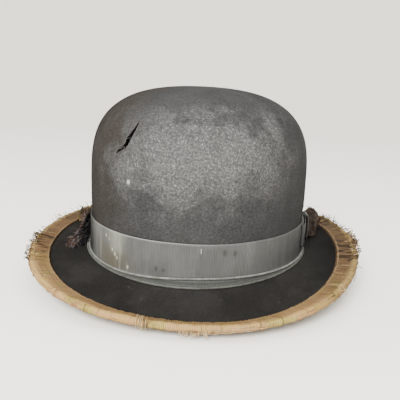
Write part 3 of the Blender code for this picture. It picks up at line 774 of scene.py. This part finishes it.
def crown_heights():
    """Heights of the felt's rows over the crease, evenly spaced along the profile."""
    rise = np.sin(np.linspace(0.5 * np.pi, 0, 4000)) ** (2 / CROWN_RISE_POWER)
    height = CROWN_WIDEST_HEIGHT + (CROWN_HEIGHT - CROWN_WIDEST_HEIGHT) * rise
    height = np.concatenate([height, np.linspace(CROWN_WIDEST_HEIGHT, 0.0026, 2000)[1:]])
    step = np.hypot(np.diff(height), np.diff(wall_half_width(height)))
    beside_tear = (height[1:] > TEAR_ROWS[0]) & (height[1:] < TEAR_ROWS[1])
    density = np.where(beside_tear, TEAR_ROW_DENSITY, 1.0) / FELT_ROW_STEP
    count = np.concatenate([[0], np.cumsum(step * density)])
    return np.interp(np.arange(0.6, count[-1], 1.0), count, height)


def torn_crown(columns, heights, middle):
    """Points of the crown with its tear open, the tear's second lip, the painted highlight along its lips,
    and its rows.
    """
    offset = columns - columns[middle]
    stops = np.concatenate([TEAR_LEAD_HEIGHTS[:1], TEAR_HEIGHTS, TEAR_LEAD_HEIGHTS[1:]])
    shift = np.interp(heights, stops, np.concatenate([[0], TEAR_ANGLES - columns[middle], [0]]))
    angle = columns[None] + shift[:, None] * np.exp(-(offset / TEAR_LEAD_REACH) ** 2)[None]
    whole = wall_point(angle, heights[:, None])

    torn = (heights > TEAR_HEIGHTS[0]) & (heights < TEAR_HEIGHTS[-1])
    half = np.interp(heights, TEAR_HEIGHTS, TEAR_HALF_WIDTHS) * torn
    ragged = 1 + 0.30 * np.sin(heights * 5200) * np.sin(heights * 1700 + 1)
    distance = offset[None] * CROWN_HALF_WIDTH
    run = np.gradient(angle[:, middle] * CROWN_HALF_WIDTH) / np.gradient(heights)
    lean = np.sqrt(1 + run ** 2)
    across_tear = points_of(-np.sin(angle), HEAD_OVAL * np.cos(angle), 0) / lean[:, None, None]
    across_tear[..., 2] -= (run / lean)[:, None]
    outward = points_of(np.cos(angle), np.sin(angle) / HEAD_OVAL, 0.35)

    def opened(sides):
        push = sides * np.exp(-np.abs(distance) / 0.004) * (half * ragged)[:, None]
        sink = np.where(sides > 0, -0.10, -0.25) * np.exp(-np.abs(distance) / 0.0035) * half[:, None]
        return whole + across_tear * push[..., None] + outward * sink[..., None]

    crown = opened(np.sign(distance))
    crown[:, middle] = opened(-np.ones_like(distance))[:, middle]
    other_lip = opened(np.ones_like(distance))[:, middle]
    # A painted highlight along the tear's lips, strongest on the right lip.
    lip_highlight = np.exp(-np.abs(distance) / 0.0009) * (half / 0.0017)[:, None]
    return crown, other_lip, lip_highlight * np.where(distance >= 0, 1.0, 0.35), torn


def crease_and_brim(columns):
    """Points of the curve between crown and brim, and of the brim to its edge."""
    turn = 0.5 * np.pi * np.linspace(0.08, 1.0, 8)[:, None]
    crease = oval(columns[None], CROWN_FOOT_HALF_WIDTH + CREASE_RADIUS * (1 - np.cos(turn)),
                  crease_z(columns[None]) + CREASE_RADIUS * (1 - np.sin(turn)))
    inner = np.linspace(1.0, 0.0, 34)[1:, None]
    brim = brim_point(columns[None], BINDING_WIDTH + (brim_width(columns)[None] - BINDING_WIDTH) * inner)
    bound = brim_point(columns[None], np.linspace(BINDING_WIDTH, FOLD_RADIUS, 9)[1:, None])
    return np.concatenate([crease, brim, bound])


def felt_body():
    """Crown and brim in one piece of felt, with its tear."""
    columns = felt_columns()
    heights = crown_heights()
    middle = int(np.argmin(np.abs(columns - TEAR_MIDDLE)))
    crown, other_lip, lip_highlight, torn = torn_crown(columns, heights, middle)
    grid = np.concatenate([crown, crease_and_brim(columns)])
    rows, count = grid.shape[:2]
    uneven = wander(grid, 0.035, 1) * 0.0003 + wander(grid, 0.012, 2) * 0.00008
    level = np.concatenate([heights, np.zeros(rows - len(heights))])
    uneven *= smooth_step(0.028, 0.045, level)[:, None]
    centre = grid - np.array([0, 0, CREASE_HEIGHT + CROWN_WIDEST_HEIGHT])
    grid += unit(centre) * uneven[..., None]

    # The second lip has points of its own, which the faces beyond the tear use, and a point closes the top.
    second = rows * count
    torn_rows = np.flatnonzero(torn)
    twins = {int(row) * count + middle: second + i for i, row in enumerate(torn_rows)}
    apex = second + len(torn_rows)
    points = np.concatenate([grid.reshape(-1, 3), other_lip[torn], [[0, 0, CREASE_HEIGHT + CROWN_HEIGHT]]])
    # The lip value carries the painted highlight along the tear's lips.
    below = np.zeros((rows - len(heights)) * count)
    lip_highlights = np.concatenate([lip_highlight.ravel(), below, lip_highlight[torn, middle], [0]])
    faces = grid_faces(rows, count, True).tolist()
    for i, face in enumerate(faces):
        if face[0] % count == middle:
            faces[i] = [twins.get(corner, corner) for corner in face]
    faces += [[apex, i, (i + 1) % count] for i in range(count)]
    mesh = make_mesh("felt_crown_and_brim", points, faces, {"lip": lip_highlights})
    piece = add_piece("felt_crown_and_brim", mesh, felt_finish(), ["felt_body"])
    mesh.materials.append(felt_cut_finish())
    thicken(piece, FELT_THICKNESS).modifiers["thickness"].material_offset_rim = 1


# The band and its cords -------------------------------------------------------------------------

def upper_cord_height(angles):
    """Height of the upper cord over the crease, without kinks."""
    shifts = np.radians(np.linspace(-8, 8, 9))
    spread = [np.degrees((angles + shift + np.pi) % (2 * np.pi) - np.pi) for shift in shifts]
    return np.mean([np.interp(turned, UPPER_CORD_ANGLES, UPPER_CORD_HEIGHTS) for turned in spread], axis=0)


def lower_cord_line(angles):
    """The line of the lower cord, which lies on the brim just outside the crease."""
    run = 0.0005 + 0.0017 * np.sin(angles) ** 2
    return brim_point(angles, brim_width(angles) - run, FOOT_CORD_RADIUS)


def band():
    """The ribbed ribbon round the foot of the crown, with real ribs and a flared foot."""
    angles = round_angles(RIBBON_COLUMNS)
    along = angles / (2 * np.pi) * BAND_LENGTH
    foot = np.minimum(BAND_FOOT_HEIGHT, upper_cord_height(angles))
    height = foot + (BAND_TOP_HEIGHT - foot) * np.linspace(1, 0, 18)[:, None]
    base = wall_point(angles[None], height)
    wave = wander(base * np.array([1, 1, 0.4]), 0.014, 3)
    ribs = np.sin(2 * np.pi * along / RIB_PITCH)[None]
    proud = GAP + RIBBON_THICKNESS + 0.00012 * (wave + 0.5) + RIB_DEPTH * ribs
    grid = wall_point(angles[None], height, proud)
    grid[..., 2] += wander(base, 0.030, 4) * 0.0003 * smooth_step(foot, BAND_TOP_HEIGHT, height)
    share = np.linspace(0.25, 0.85, 3)[:, None, None]
    grid = np.concatenate([grid, grid[-1] + (lower_cord_line(angles) - grid[-1]) * share])
    across = np.concatenate([height, foot - 0.0015 * np.linspace(1, 3, 3)[:, None]])
    piece = surface("band_ribbon", grid, RIBBON_THICKNESS, band_finish(True), ["hatband"],
                    values={"along": along, "across": across})


def foot_cords():
    """The two twisted cords that finish the foot of the band. They come together at the sides."""
    angles = round_angles(1500)
    upper = wall_point(angles, upper_cord_height(angles), RIBBON_THICKNESS + 2 * GAP + FOOT_CORD_RADIUS)
    pieces = [("lower", lower_cord_line(angles), (0.034, 0.037, 0.032), (0.070, 0.074, 0.066)),
              ("upper", upper, (0.060, 0.062, 0.057), (0.150, 0.151, 0.143))]
    for name, line, dark, light in pieces:
        finish = thread_finish(f"foot_cord_{name}_faded", dark, light, 0.6)
        twisted_cord(f"foot_cord_{name}", line, FOOT_CORD_RADIUS, 2, FOOT_CORD_PITCH, finish,
                     [f"band_cord_{name}"])


def along_band(distance, height, outward):
    """Points beside the bow: their distance round the crown from the bow's middle."""
    return wall_point(distance / (HEAD_OVAL * CROWN_FOOT_HALF_WIDTH), height, outward)


def bow_loops(finish):
    """The two pressed loops of the bow."""
    base = 2 * GAP + RIBBON_THICKNESS
    radius = 0.5 * BOW_LOOP_DEPTH
    out = np.linspace(0, BOW_LOOP_LENGTH - radius, 60)
    turn = np.linspace(0, np.pi, 13)[1:-1]
    distance = np.concatenate([out, BOW_LOOP_LENGTH - radius + radius * np.sin(turn), out[::-1]])
    depth = np.concatenate([0 * out, radius * (1 - np.cos(turn)), BOW_LOOP_DEPTH + 0 * out])
    run = np.concatenate([[0], np.cumsum(np.hypot(np.diff(distance), np.diff(depth)))])
    height = np.linspace(BAND_TOP_HEIGHT - BOW_HEM, BOW_FOOT_HEIGHT, 20)[:, None]
    for name, side in (("front", -1), ("back", 1)):
        soft = 0.00025 * np.sin(np.pi * distance / BOW_LOOP_LENGTH) * np.sin(height * 500 + side)
        grid = along_band(side * (BOW_START + distance), height, base + depth + soft)
        surface(f"bow_{name}_loop", grid[::-side], 0.75 * RIBBON_THICKNESS, finish,
                [f"bow_loop_{name}"], False, {"along": run, "across": height})


def bow_centre(finish):
    """The strip wrapped over the middle of the bow."""
    inner = 3 * GAP + 2 * RIBBON_THICKNESS + BOW_LOOP_DEPTH + 0.0002
    # Its route from behind the loops, over the top and down the front: height, and distance out.
    route = [
        (BAND_TOP_HEIGHT, GAP + 2 * RIBBON_THICKNESS),
        (BAND_TOP_HEIGHT + 0.0012, 0.45 * inner),
        (BAND_TOP_HEIGHT + 0.0010, 0.8 * inner),
        (BAND_TOP_HEIGHT, inner),
        (0.5 * (BAND_TOP_HEIGHT + KNOT_FOOT_HEIGHT), inner + 0.0004),
        (KNOT_FOOT_HEIGHT, inner),
    ]
    share = np.linspace(0, len(route) - 1, 40)
    height, outward = (np.interp(share, range(len(route)), column)[:, None] for column in zip(*route))
    across = np.linspace(-1, 1, 24)[None]
    folds = 0.00025 * np.sin(across * 9) ** 2
    grid = along_band(across * BOW_KNOT_HALF_LENGTH, height, outward + RIBBON_THICKNESS + folds)
    surface("bow_centre", grid, RIBBON_THICKNESS, finish, ["bow_knot"], False,
            {"along": height, "across": across * BOW_KNOT_HALF_LENGTH})


def tacks():
    """The stitches that tack the band's top edge keep their CAD shape."""
    finish = thread_finish("tack_thread", (0.22, 0.215, 0.19), (0.36, 0.35, 0.31))
    for name in ("front", "right", "back"):
        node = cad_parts[f"band_tack_{name}"]
        node.data.materials.clear()
        node.data.materials.append(finish)


# Binding ----------------------------------------------------------------------------------------

def hump(angle, middle, reach):
    """1 at an angle in degrees, fading to 0 over a reach in degrees."""
    away = (np.degrees(angle) - middle + 180) % 360 - 180
    return np.exp(-(away / reach) ** 2)


def binding():
    """The tan ribbon folded over the brim's edge, wrinkled and worn."""
    angles = round_angles(RIBBON_COLUMNS)
    along = angles / (2 * np.pi) * EDGE_LENGTH
    parts = np.linspace(0, 0.4, 15), np.linspace(0.4, 0.6, 9)[1:], np.linspace(0.6, 1, 9)[1:]
    station = np.concatenate(parts)[:, None]
    slant = along[None] + 0.004 * station
    fine, broad, sharp = (
        wander(points_of(slant / length, station * across, 0), 1.0, seed)
        for length, across, seed in ((0.0030, 2.4, 5), (0.014, 1.5, 6), (0.0042, 1.6, 7)))
    crumpled = 0.45 + sum(much * hump(angles, middle, reach) for middle, reach, much in BINDING_CRUMPLES)
    ridge = (1 - np.abs(sharp) * 4).clip(0, 1) * crumpled
    ribs = np.sin(2 * np.pi * along / RIB_PITCH)[None]
    proud = (0.00024 * np.maximum(fine, -0.6) + 0.00025 * broad + RIB_DEPTH * ribs + 0.0001
             + 0.0006 * crumpled * np.maximum(fine + 0.2, 0) - 0.0004 * ridge.clip(0, 1))
    grid = binding_point(angles[None], station, np.maximum(proud, -0.0002))
    _, out, _ = brim_frame(angles, BINDING_WIDTH)
    grid[0] += out * (0.0005 * wander(points_of(along / 0.004, 0, 0), 1.0, 8))[:, None]
    # The crease value marks the crumpled folds, where the finish paints shade.
    values = {"along": along, "across": station * 2 * BINDING_WIDTH, "crease": np.clip(ridge - 0.35, 0, 1)}
    piece = surface("edge_binding", grid, RIBBON_THICKNESS, binding_finish(),
                    ["brim_binding"], values=values)


def binding_stitches():
    """Small slanting stitches along the binding's inner edges, above and below."""
    finish = thread_finish("binding_thread_worn", (0.035, 0.020, 0.010), (0.085, 0.052, 0.026))
    from_edge = BINDING_WIDTH + np.array([0.0009, 0.0002, -0.0007])
    for name, base, side in (("upper", 0.0, 1), ("lower", -FELT_THICKNESS, -1)):
        lift = base + side * np.array([0.0002, 0.0016, 0.0012])
        lines = [brim_point(2 * np.pi * (i + np.array([0.0, 0.28, 0.58])) / BINDING_STITCHES, from_edge, lift)
                 for i in range(BINDING_STITCHES)]
        threads(f"binding_stitches_{name}", lines, 0.8 * THREAD_RADIUS, finish,
                [f"binding_stitching_{name}"])


def loose_thread(rng, start, heading, length, curl, droop=0.0, steps=7):
    """A thread that leaves start in a heading, and wanders and sinks on its way."""
    points = [np.array(start, float)]
    heading = np.array(heading, float)
    for _ in range(steps):
        heading = unit(heading) + rng.normal(0, curl, 3)
        heading[2] -= droop
        point = points[-1] + unit(heading) * length / steps
        point[2] = max(point[2], LOOSE_THREAD_RADIUS)
        points.append(point)
    return points


def thread_loop(rng, angle, span, size):
    """A thread pulled out of the binding's edge in a loop, between two angles."""
    turn = np.linspace(0, np.pi, 9)
    angles = angle + span * turn / np.pi
    place, out, up = brim_frame(angles, 0.001)
    lift = rng.uniform(-0.3, 0.9)
    reach = size * np.sin(turn) ** 0.7
    line = place + (out + lift * up) * reach[:, None] + rng.normal(0, 0.0003, place.shape)
    line[:, 2] = np.maximum(line[:, 2], LOOSE_THREAD_RADIUS)
    return line


def edge_frays():
    """Loose threads and loops round the outer edge of the binding, where it is most worn."""
    rng = np.random.default_rng(41)
    tones = [(tone, thread_finish(f"frayed_thread_{tone}", *colours)) for tone, colours in FRAY_TONES.items()]
    for name, first, last, hairs, loops, longest, droop, has_dark in FRAY_ZONES:
        for tone, finish in tones if has_dark else tones[:2]:
            lines = []
            for _ in range(hairs // 2):
                angle = math.radians(rng.uniform(first, last))
                start = binding_point(angle, rng.uniform(0.30, 0.52), 0.0003)
                _, out, up = brim_frame(angle, 0.002)
                along = np.array([-math.sin(angle), math.cos(angle), 0])
                heading = out + up * rng.uniform(0.0, 1.3) + along * rng.uniform(-1.4, 1.4)
                lines.append(loose_thread(rng, start, heading, rng.uniform(0.25, 1.0) * longest, 0.35, droop))
            for _ in range(loops // 2):
                angle = math.radians(rng.uniform(first, last))
                span = math.radians(rng.uniform(0.6, 2.6))
                lines.append(thread_loop(rng, angle, span, rng.uniform(0.0015, 0.0050)))
            threads(f"frays_{name}_{tone}", lines, 1.3 * LOOSE_THREAD_RADIUS, finish)


def front_frays():
    """The break at the front left, with its thread loops, and the fringe under the front."""
    rng = np.random.default_rng(7)
    pale = thread_finish("front_thread_pale", (0.24, 0.160, 0.070), (0.40, 0.30, 0.165))
    lines = []
    for angle in (-98.6, -98.0, -97.3, -96.8, -96.2):
        turn = np.linspace(-0.5, 1.25, 12) * np.pi
        place, out, up = brim_frame(math.radians(angle + rng.uniform(-0.15, 0.15)), FOLD_RADIUS)
        radius = 0.0031 + rng.uniform(0, 0.0012)
        ring = place - up * 0.5 * FELT_THICKNESS
        ring = ring + radius * (np.outer(np.sin(turn), out) + np.outer(np.cos(turn), up))
        ring[:, 0] += np.linspace(-0.0006, 0.0006, len(turn))
        ring[:, 2] = np.maximum(ring[:, 2], LOOSE_THREAD_RADIUS)
        lines.append(ring)
    for _ in range(34):
        angle = math.radians(rng.uniform(-87.5, -80.5))
        start = binding_point(angle, rng.uniform(0.52, 0.60), 0.0002)
        heading = [rng.normal(0, 0.25), -0.25, -1.0]
        lines.append(loose_thread(rng, start, heading, rng.uniform(0.0015, 0.0045), 0.25, 0.2, 5))
    for _ in range(9):
        first, last = sorted(rng.uniform(-84, -66, 2))
        angles = np.radians(np.linspace(first, last, 14))
        station = rng.uniform(0.50, 0.60) + 0.01 * np.sin(np.linspace(0, 9, 14) + rng.uniform(0, 6))
        line = binding_point(angles, station, 0.0005)
        lines.append(line + rng.normal(0, 0.0002, line.shape))
    threads("front_loops_and_fringe", lines, LOOSE_THREAD_RADIUS, pale)


def torn_end(name, seed, width, route, colours, tip_colours):
    """A torn, frayed end of ribbon that lies on the brim: a crumpled strip and its threads."""
    rng = np.random.default_rng(seed)
    share = np.linspace(0, 1, 70)[:, None]
    across = np.linspace(-0.5, 0.5, 16)
    angle, inset, lift = (np.interp(share, np.linspace(0, 1, len(route)), column) for column in zip(*route))
    inset = inset + across * width * (1 - 0.45 * share ** 2)
    lift = lift * (1 + 0.5 * np.sin(across * 9 + 7 * share)) + 0.0006
    crumple = wander(points_of(share * 9, across * 3, 0), 1.0, seed)
    strip = brim_point(np.radians(angle), inset, lift + 0.0022 * np.abs(crumple))
    surface(f"{name}_strip", strip, THIN_RIBBON_THICKNESS, thread_finish(f"{name}_ribbon", *colours),
            closed=False)
    last = len(share) - 1
    parts = [("threads", 130, 0.0, 0.95, colours), ("tip", 70, 0.70, 1.0, tip_colours)]
    for part, count, low, high, tones in parts:
        lines = []
        for _ in range(count):
            i = int(rng.uniform(low, high) * last)
            j = rng.integers(0, len(across))
            forward = strip[min(i + 1, last), j] - strip[max(i - 1, 0), j]
            heading = unit(forward) + rng.normal(0, 0.55, 3) + np.array([0, 0, 0.45])
            lines.append(loose_thread(rng, strip[i, j], heading, rng.uniform(0.002, 0.008), 0.45, 0.16))
        finish = thread_finish(f"{name}_{part}_thread", *tones)
        threads(f"{name}_{part}", lines, 1.6 * LOOSE_THREAD_RADIUS, finish)


# Inside the hat ---------------------------------------------------------------------------------

def tear_pocket(points):
    """1 behind the tear, fading to 0 round it."""
    middle = wall_point(np.array(TEAR_MIDDLE), np.array(0.086))
    return np.exp(-(np.linalg.norm(points - middle, axis=-1) / 0.018) ** 2)


def lining_side(satin):
    """The side of the satin lining, gathered into pleats towards its tip."""
    angles = round_angles(1440)[None]
    side = inside_dome(angles, np.linspace(0.794, 0.0, 44)[:, None], LINING_INSET)
    share = np.linspace(0, 1, 14)[1:, None]
    start_z = CREASE_HEIGHT + CROWN_WIDEST_HEIGHT
    start_half_width = CROWN_HALF_WIDTH - LINING_INSET
    hem_half_width = CROWN_FOOT_HALF_WIDTH - LINING_INSET + LINING_THICKNESS
    skirt = oval(angles, start_half_width + (hem_half_width - start_half_width) * share,
                 start_z + (crease_z(angles) + LINING_HEM_HEIGHT - start_z) * share)
    grid = np.concatenate([side, skirt])
    level = np.linspace(0, 1, len(grid))[:, None]
    pleats = np.abs(np.sin(LINING_PLEATS * angles + 0.7 * np.sin(5 * angles))) ** 1.5
    sag = 0.0012 * pleats * (1 - 0.75 * level) + 0.0007 * (wander(grid, 0.018, 11) + 0.5).clip(0, 1)
    outward = unit(grid - np.array([0, 0, CREASE_HEIGHT + 0.05]))
    grid = grid - outward * (sag + 0.008 * tear_pocket(grid))[..., None]
    piece = surface("lining_side_satin", grid, LINING_THICKNESS, satin, ["lining_side"])


def lining_tip(satin):
    """The oval tip of the lining."""
    turns = np.linspace(0.5 * np.pi - 0.02, 0.806, 40)
    grid = inside_dome(round_angles(720)[None], turns[:, None], LINING_INSET)
    grid[..., 2] -= 0.0006 * (wander(grid, 0.020, 12) + 0.6).clip(0, 2)
    rows, count = grid.shape[:2]
    points = np.concatenate([grid.reshape(-1, 3), [grid[0].mean(axis=0)]])
    faces = grid_faces(rows, count, True).tolist()
    faces += [[rows * count, i, (i + 1) % count] for i in range(count)]
    mesh = make_mesh("lining_tip_satin", points, faces)
    piece = add_piece("lining_tip_satin", mesh, satin, ["lining_tip"])
    thicken(piece, LINING_THICKNESS)


def lining_piping(satin):
    """The cord in the seam between the lining's side and its tip."""
    inset = LINING_INSET + LINING_THICKNESS + 2 * GAP + PIPING_RADIUS
    line = inside_dome(round_angles(900), PIPING_TURN, inset)
    twisted_cord("lining_piping", line, PIPING_RADIUS, 2, PIPING_PITCH, satin,
                 ["lining_seam_cord"])


def sweatband():
    """The leather band that touches the head."""
    angles = round_angles(1080)
    height = np.linspace(SWEATBAND_HEIGHT, SWEATBAND_FOOT_HEIGHT, 46)[:, None]
    wave = 0.0007 * smooth_step(0.012, 0.048, height) * np.sin(7 * angles + 2 * np.sin(3 * angles))[None]
    grid = oval(angles[None], SWEATBAND_HALF_WIDTH - 0.0004 + wave * 0.5,
                crease_z(angles[None]) + height + wave * 0.6)
    around = points_of(np.cos(angles), np.sin(angles), 0)[None]
    grid += around * (0.0002 * wander(grid, 0.009, 21))[..., None]
    surface("leather_sweatband", grid, SWEATBAND_THICKNESS, leather_finish(),
            ["sweatband"])


def reed(cover):
    """The covered reed at the sweatband's foot."""
    angles = round_angles(1200)
    line = oval(angles, SWEATBAND_HALF_WIDTH - 0.5 * SWEATBAND_THICKNESS,
                crease_z(angles) + SWEATBAND_FOOT_HEIGHT - GAP - REED_RADIUS)
    twisted_cord("covered_reed", line, REED_RADIUS, 3, REED_PITCH, cover, ["sweatband_reed"])


def sweatband_stitches():
    """The stitches that hold the sweatband over its reed."""
    thread = thread_finish("sweatband_thread_worn", (0.09, 0.060, 0.032), (0.19, 0.14, 0.080))
    inner = SWEATBAND_HALF_WIDTH - SWEATBAND_THICKNESS - GAP - THREAD_RADIUS
    sink = np.array([0.0006, 0.0, 0.0, 0.0, 0.0006])
    lines = []
    for i in range(SWEATBAND_STITCHES):
        angle = 2 * np.pi * (i + np.array([0.0, 0.1, 0.35, 0.6, 0.7])) / SWEATBAND_STITCHES
        lines.append(oval(angle, inner + sink, crease_z(angle) + SWEATBAND_STITCH_HEIGHT))
    threads("sweatband_stitches", lines, THREAD_RADIUS, thread, ["sweatband_stitching"])


def inner_bow(cover):
    """The small bow at the sweatband's back seam: its loops and its knot."""
    middle_y = HEAD_OVAL * (SWEATBAND_HALF_WIDTH - SWEATBAND_THICKNESS) - INNER_BOW_OFF
    middle_z = CREASE_HEIGHT - CREASE_DIP + INNER_BOW_LIFT
    turn = np.linspace(0, 2 * np.pi, 97)[:-1]
    x = INNER_BOW_LOOP_LENGTH * np.cos(turn)
    waist = INNER_BOW_WAIST + (1 - INNER_BOW_WAIST) * np.cos(turn) ** 2
    y = middle_y - INNER_BOW_BEND * x * x + INNER_BOW_DEPTH * waist * np.sin(turn)
    pinch = 0.55 + 0.45 * np.clip(np.abs(x) / 0.006, 0, 1) ** 0.7
    z = middle_z + 0.5 * INNER_BOW_HEIGHT * np.linspace(1, -1, 14)[:, None] * pinch
    surface("inner_bow_loops", points_of(x, y, z), THIN_RIBBON_THICKNESS, cover,
            ["sweatband_bow_loops"])
    turn = np.linspace(0, 2 * np.pi, 49)[:-1]
    x = np.linspace(0.0018, -0.0018, 12)[:, None]
    tight = 0.62 + 0.08 * np.cos(x * 900)
    z = middle_z + (0.5 * INNER_BOW_HEIGHT + 0.0013) * np.cos(turn) * tight
    grid = points_of(x, middle_y - INNER_BOW_KNOT_DEPTH * np.sin(turn), z)
    surface("inner_bow_knot", grid, THIN_RIBBON_THICKNESS, cover, ["sweatband_bow_knot"])


# Stage ------------------------------------------------------------------------------------------

def stage():
    """A pale floor that rises into a backdrop far away all round."""
    turns = round_angles(96)[None]
    radius = np.array([0.001, 1.0, 2.2, 3.0, 3.6, 3.9, 4.0])[:, None]
    z = np.array([0, 0, 0, 0.10, 0.5, 1.3, 3.2])[:, None]
    grid = points_of(radius * np.cos(turns), radius * np.sin(turns), z)
    floor = bpy.data.objects.new("floor", grid_mesh("floor", grid[::-1]))
    bpy.context.scene.collection.objects.link(floor)
    floor.data.materials.append(floor_finish())
    floor.location.z = -0.0002


def studio():
    """One soft light from above the front, and a pale room."""
    world = bpy.data.worlds.new("pale_room")
    bpy.context.scene.world = world
    world.use_nodes = True
    background = world.node_tree.nodes["Background"]
    background.inputs["Color"].default_value = (0.95, 0.94, 0.91, 1.0)
    background.inputs["Strength"].default_value = 2.6
    light = bpy.data.lights.new("key", "AREA")
    light.size = 0.7
    light.energy = 75.0
    light.color = (1.0, 0.985, 0.955)
    lamp = bpy.data.objects.new("key", light)
    bpy.context.scene.collection.objects.link(lamp)
    lamp.location = KEY_LIGHT_PLACE
    lamp.rotation_euler = (Vector(KEY_LIGHT_TARGET) - lamp.location).to_track_quat("-Z", "Y").to_euler()


def camera():
    """The camera, where the reference view has it."""
    lens = bpy.data.cameras.new("camera")
    lens.lens = CAMERA_LENS
    lens.sensor_width = 36.0
    lens.clip_start = 0.01
    body = bpy.data.objects.new("camera", lens)
    bpy.context.scene.collection.objects.link(body)
    turn = Matrix.Rotation(CAMERA_TURN, 4, "Z")
    tilt = Matrix.Rotation(0.5 * math.pi - CAMERA_DOWN, 4, "X")
    roll = Matrix.Rotation(CAMERA_ROLL, 4, "Z")
    body.matrix_world = Matrix.Translation(CAMERA_PLACE) @ turn @ tilt @ roll
    bpy.context.scene.camera = body


camera()
stage()
studio()
felt_body()
band()
foot_cords()
bow_ribbon = band_finish(False)
bow_loops(bow_ribbon)
bow_centre(bow_ribbon)
tacks()
binding()
binding_stitches()
edge_frays()
front_frays()
for torn_ribbon in TORN_ENDS:
    torn_end(*torn_ribbon)
sweatband()
reed_cover = thread_finish("reed_cover_worn", (0.010, 0.007, 0.0055), (0.026, 0.019, 0.015), 0.6)
reed(reed_cover)
sweatband_stitches()
inner_bow(reed_cover)
lining_satin = satin_finish()
lining_side(lining_satin)
lining_tip(lining_satin)
lining_piping(lining_satin)
